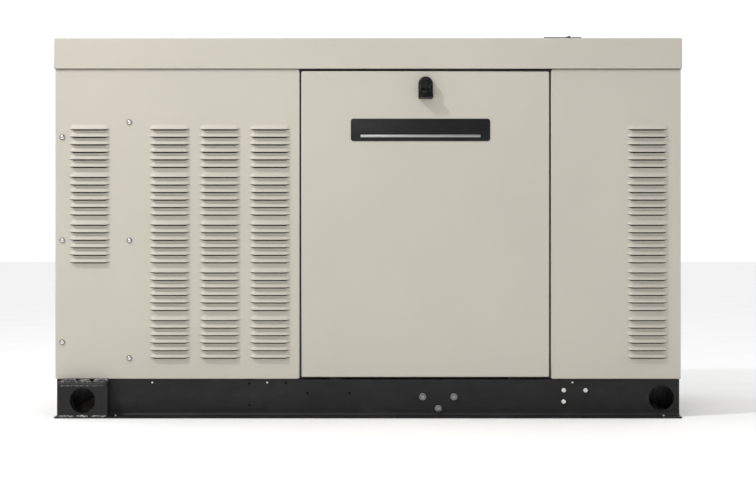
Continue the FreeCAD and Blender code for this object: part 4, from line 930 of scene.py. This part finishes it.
def brackets():
    """Boxed lifting brackets: a plate bent over at the top, with a round eye and closed ends."""
    shells = []
    places = [v.co for v in nodes["lifting_brackets"].data.vertices]
    for low, high in islands("lifting_brackets"):
        front = low.y < 0
        face, web = (low.y, high.y) if front else (high.y, low.y)
        out = -1 if front else 1
        rim = [p for p in places if abs(p.y - face) < 1e-5 and low.x + 0.01 < p.x < high.x - 0.01
               and low.z + 0.005 < p.z < high.z - 0.005]
        centre = ((min(p.x for p in rim) + max(p.x for p in rim)) / 2,
                  (min(p.z for p in rim) + max(p.z for p in rim)) / 2)
        eye = (max(p.x for p in rim) - min(p.x for p in rim)) / 2
        shells.append((bracket_shell(low, high, face, web, out, centre, eye), Matrix()))
    add_piece("bracket_shells", joined(shells), "enclosure", "frame_paint", stands_for=["lifting_brackets"])


def bracket_shell(low, high, face, web, out, centre, eye):
    """One bracket: a plate with its eye, bent back over the top to the web, and closed at both ends."""
    bend = 0.012
    top = high.z - bend
    skin = Skin()
    away = Vector((0, out, 0))
    count = 64
    circle, frame_points = [], []
    corners = [math.atan2(z - centre[1], x - centre[0])
               for x, z in ((low.x, low.z), (high.x, low.z), (high.x, top), (low.x, top))]
    angles = sorted(set([2 * math.pi * n / count - math.pi for n in range(count)] + corners))
    for angle in angles:
        dx, dz = math.cos(angle), math.sin(angle)
        circle.append((centre[0] + eye * dx, centre[1] + eye * dz))
        reach = min(((high.x if dx > 0 else low.x) - centre[0]) / dx if abs(dx) > 1e-9 else 9,
                    ((top if dz > 0 else low.z) - centre[1]) / dz if abs(dz) > 1e-9 else 9)
        frame_points.append((centre[0] + reach * dx, centre[1] + reach * dz))
    ring = list(zip(circle, frame_points))
    wall = 0.006
    back = face - out * wall
    for (c0, f0), (c1, f1) in zip(ring, ring[1:] + ring[:1]):
        skin.face([(x, face, z) for x, z in (c0, c1, f1, f0)], away)
        inward = Vector((centre[0] - c0[0], 0, centre[1] - c0[1]))
        rim = [(x, face, z) for x, z in (c0, c1)] + [(x, back, z) for x, z in (c1, c0)]
        skin.face(rim, inward)
    edge = [(face - out * bend * (1 - math.cos(a)), top + bend * math.sin(a))
            for a in (math.pi / 2 * n / 6 for n in range(7))]
    along = sorted(set([low.x, high.x] + [round(x, 6) for x, z in frame_points if abs(z - top) < 1e-6]))
    for (y0, z0), (y1, z1) in zip(edge, edge[1:]):
        for x0, x1 in zip(along, along[1:]):
            ring = [(x0, y0, z0), (x1, y0, z0), (x1, y1, z1), (x0, y1, z1)]
            skin.face(ring, Vector((0, out, 1)), smooth=True)
    y1, z1 = edge[-1]
    skin.face([(low.x, y1, z1), (high.x, y1, z1), (high.x, web, z1), (low.x, web, z1)], Vector((0, 0, 1)))
    for x, sign in ((low.x, -1), (high.x, 1)):
        side = [(x, face, low.z)] + [(x, y, z) for y, z in edge] + [(x, web, high.z), (x, web, low.z)]
        skin.face(side, Vector((sign, 0, 0)))
    return skin.finish("bracket")


def bead(start, end, radius, seed):
    """A rippled, slightly wandering weld run between two points."""
    start, end = Vector(start), Vector(end)
    length = (end - start).length
    along = (end - start).normalized()
    side = along.orthogonal().normalized()
    other = along.cross(side)
    rings = int(length / 0.0009)
    skin = Skin()
    loops = []
    for n in range(rings + 1):
        t = n / rings
        ripple = 0.8 + 0.22 * abs(math.sin(math.pi * length * t / 0.0042))
        wander = noise.noise(Vector((seed, 40 * length * t, 0.5)))
        girth = radius * ripple * (1 + 0.25 * wander) * min(1.0, 6 * t + 0.3, 6 * (1 - t) + 0.3)
        centre = start + along * length * t + other * wander * radius * 0.5
        loops.append([centre + (side * math.cos(a) + other * math.sin(a)) * girth
                      for a in (2 * math.pi * k / 10 for k in range(10))])
    for first, second in zip(loops, loops[1:]):
        middle = sum(first, Vector()) / 10
        for k in range(10):
            ring = [first[k], first[(k + 1) % 10], second[(k + 1) % 10], second[k]]
            skin.face(ring, (first[k] + first[(k + 1) % 10]) / 2 - middle, smooth=True)
    skin.face(loops[0], -along)
    skin.face(loops[-1], along)
    return skin.finish("bead")


def welds():
    """Weld runs where the lifting brackets meet the rails, stitches along their bent tops, and a thin bead
    along each bend that paints in a highlight line.
    """
    runs = []

    def run(start, end, y, z, radius, seed):
        runs.append((bead((start, y, z), (end, y, z), radius, seed), Matrix()))

    for number, (low, high) in enumerate(islands("lifting_brackets")):
        front = low.y < 0
        web, face = (high.y, low.y) if front else (low.y, high.y)
        out = -1 if front else 1
        wide = high.x - low.x
        for stretch, (a, b) in enumerate(((0.02, 0.34), (0.37, 0.62), (0.68, 0.97))):
            x0, x1 = low.x + wide * a, low.x + wide * b
            seed = number * 10 + stretch
            run(x0, x1, web + out * 0.004, high.z + 0.001, 0.0046, seed)
            run(x0, x1, face + out * 0.0005, low.z + 0.002, 0.0034, seed + 5)
        for stretch in range(7):
            x0 = low.x + wide * (0.03 + 0.137 * stretch)
            x1 = low.x + wide * (0.125 + 0.137 * stretch)
            run(x0, x1, face - out * 0.009, high.z - 0.0004, 0.0019, number * 10 + stretch + 0.5)
        # A thin bright bead along the bend line: a painted highlight, not a weld.
        run(low.x + 0.002, high.x - 0.002, face - out * 0.0004, high.z - 0.0118, 0.0011, number + 0.3)
    add_piece("bracket_welds_and_highlight_line", joined(runs), "enclosure", "frame_paint", material=WELD)


# ---- CAD nodes that stay ----------------------------------------------------------------------

SOFT_EDGES = {
    "front_rail": 0.0012, "rear_rail": 0.0012, "roof_flap": 0.0006,
    "battery": 0.002, "control_box": 0.0015, "main_breaker": 0.0015, "engine_block": 0.003,
    "cylinder_head": 0.002, "valve_cover": 0.003, "oil_pan": 0.002, "intake_manifold": 0.003,
    "exhaust_manifold": 0.003, "oil_filter": 0.001, "generator_housing": 0.003, "radiator": 0.002,
    "muffler": 0.001, "air_cleaner": 0.001, "fuel_regulator": 0.002, "door_liner": 0.002,
    "breaker_toggle": 0.0008, "mode_switch": 0.0008, "e_stop": 0.001, "radiator_cap": 0.001,
    "oil_filler_cap": 0.0015,
}


def finish_nodes():
    """Every CAD node that still shows gets its slot's finish, and those listed in SOFT_EDGES get softened
    edges.
    """
    for part in frame["record"]["subparts"]:
        node = nodes[part["node"]]
        if node.hide_render:
            continue
        node.data.materials.clear()
        node.data.materials.append(MATERIALS[part["material_slot"]])
        width = SOFT_EDGES.get(part["node"])
        if not width:
            continue
        weld = node.modifiers.new("weld", "WELD")
        weld.merge_threshold = 0.00001
        edge = node.modifiers.new("edge", "BEVEL")
        edge.width = width
        edge.segments = 2
        edge.limit_method = "ANGLE"
        edge.angle_limit = math.radians(40)
        edge.harden_normals = True


# ---- Studio -----------------------------------------------------------------------------------


def studio():
    """A pale floor, a white surround and soft light from the upper left."""
    scene = bpy.context.scene
    scene.view_settings.view_transform = "Standard"
    surround()

    floor_mesh = bpy.data.meshes.new("floor")
    reach = 40.0
    corners = [(-reach, -reach, 0), (reach, -reach, 0), (reach, reach, 0), (-reach, reach, 0)]
    floor_mesh.from_pydata(corners, [], [(0, 1, 2, 3)])
    floor = bpy.data.objects.new("floor", floor_mesh)
    scene.collection.objects.link(floor)
    finish = Finish("floor_pale", specular=0.2)
    finish.colour(finish.ramp(finish.noise(3.0), [(0.3, (0.93, 0.93, 0.93)), (0.7, (0.96, 0.96, 0.96))]))
    finish.rough(finish.noise(20.0), 0.7, 0.85)
    floor_mesh.materials.append(finish.material)

    area_light("key", (-2.5, -2.1, 3.8), (0.1, -0.38, 0.6), 0.3, 84)
    area_light("fill", (-0.35, -3.9, 1.75), (0.0, -0.38, 0.4), 1.0, 10)


def surround():
    """White overhead and behind, dimmer low down in front, so that the light models the metal."""
    world = bpy.data.worlds.new("surround")
    bpy.context.scene.world = world
    world.use_nodes = True
    tree = world.node_tree
    slope = tree.nodes.new("ShaderNodeVectorMath")
    slope.operation = "DOT_PRODUCT"
    slope.inputs[1].default_value = (-0.1, 0.6, 0.8)
    tree.links.new(tree.nodes.new("ShaderNodeTexCoord").outputs["Generated"], slope.inputs[0])
    fade = tree.nodes.new("ShaderNodeMapRange")
    fade.interpolation_type = "SMOOTHSTEP"
    for name, value in (("From Min", -0.4), ("From Max", 0.5), ("To Min", 0.21), ("To Max", 1.05)):
        fade.inputs[name].default_value = value
    tree.links.new(slope.outputs["Value"], fade.inputs["Value"])
    tree.links.new(fade.outputs["Result"], tree.nodes["Background"].inputs["Strength"])
    tree.nodes["Background"].inputs["Color"].default_value = (1.0, 1.0, 1.0, 1.0)


def area_light(name, place, target, size, power):
    data = bpy.data.lights.new(name, "AREA")
    data.shape = "DISK"
    data.size = size
    data.energy = power
    light = bpy.data.objects.new(name, data)
    light.location = place
    light.rotation_euler = (Vector(target) - Vector(place)).to_track_quat("-Z", "Y").to_euler()
    bpy.context.scene.collection.objects.link(light)


def camera():
    """Square on to the service side, at mid height, from about five metres."""
    data = bpy.data.cameras.new("camera")
    data.lens = 76.0
    data.sensor_width = 36.0
    data.clip_end = 200.0
    eye = bpy.data.objects.new("camera", data)
    eye.location = (0.031, -5.381, 0.5465)
    eye.rotation_euler = (math.radians(90), 0, 0)
    bpy.context.scene.collection.objects.link(eye)
    bpy.context.scene.camera = eye


camera()
side_skins()
louvre_foam_shade_backing()
roof_skin()
door_skin()
door_badge()
latch()
fasteners()
rail_bends()
brackets()
welds()
finish_nodes()
studio()
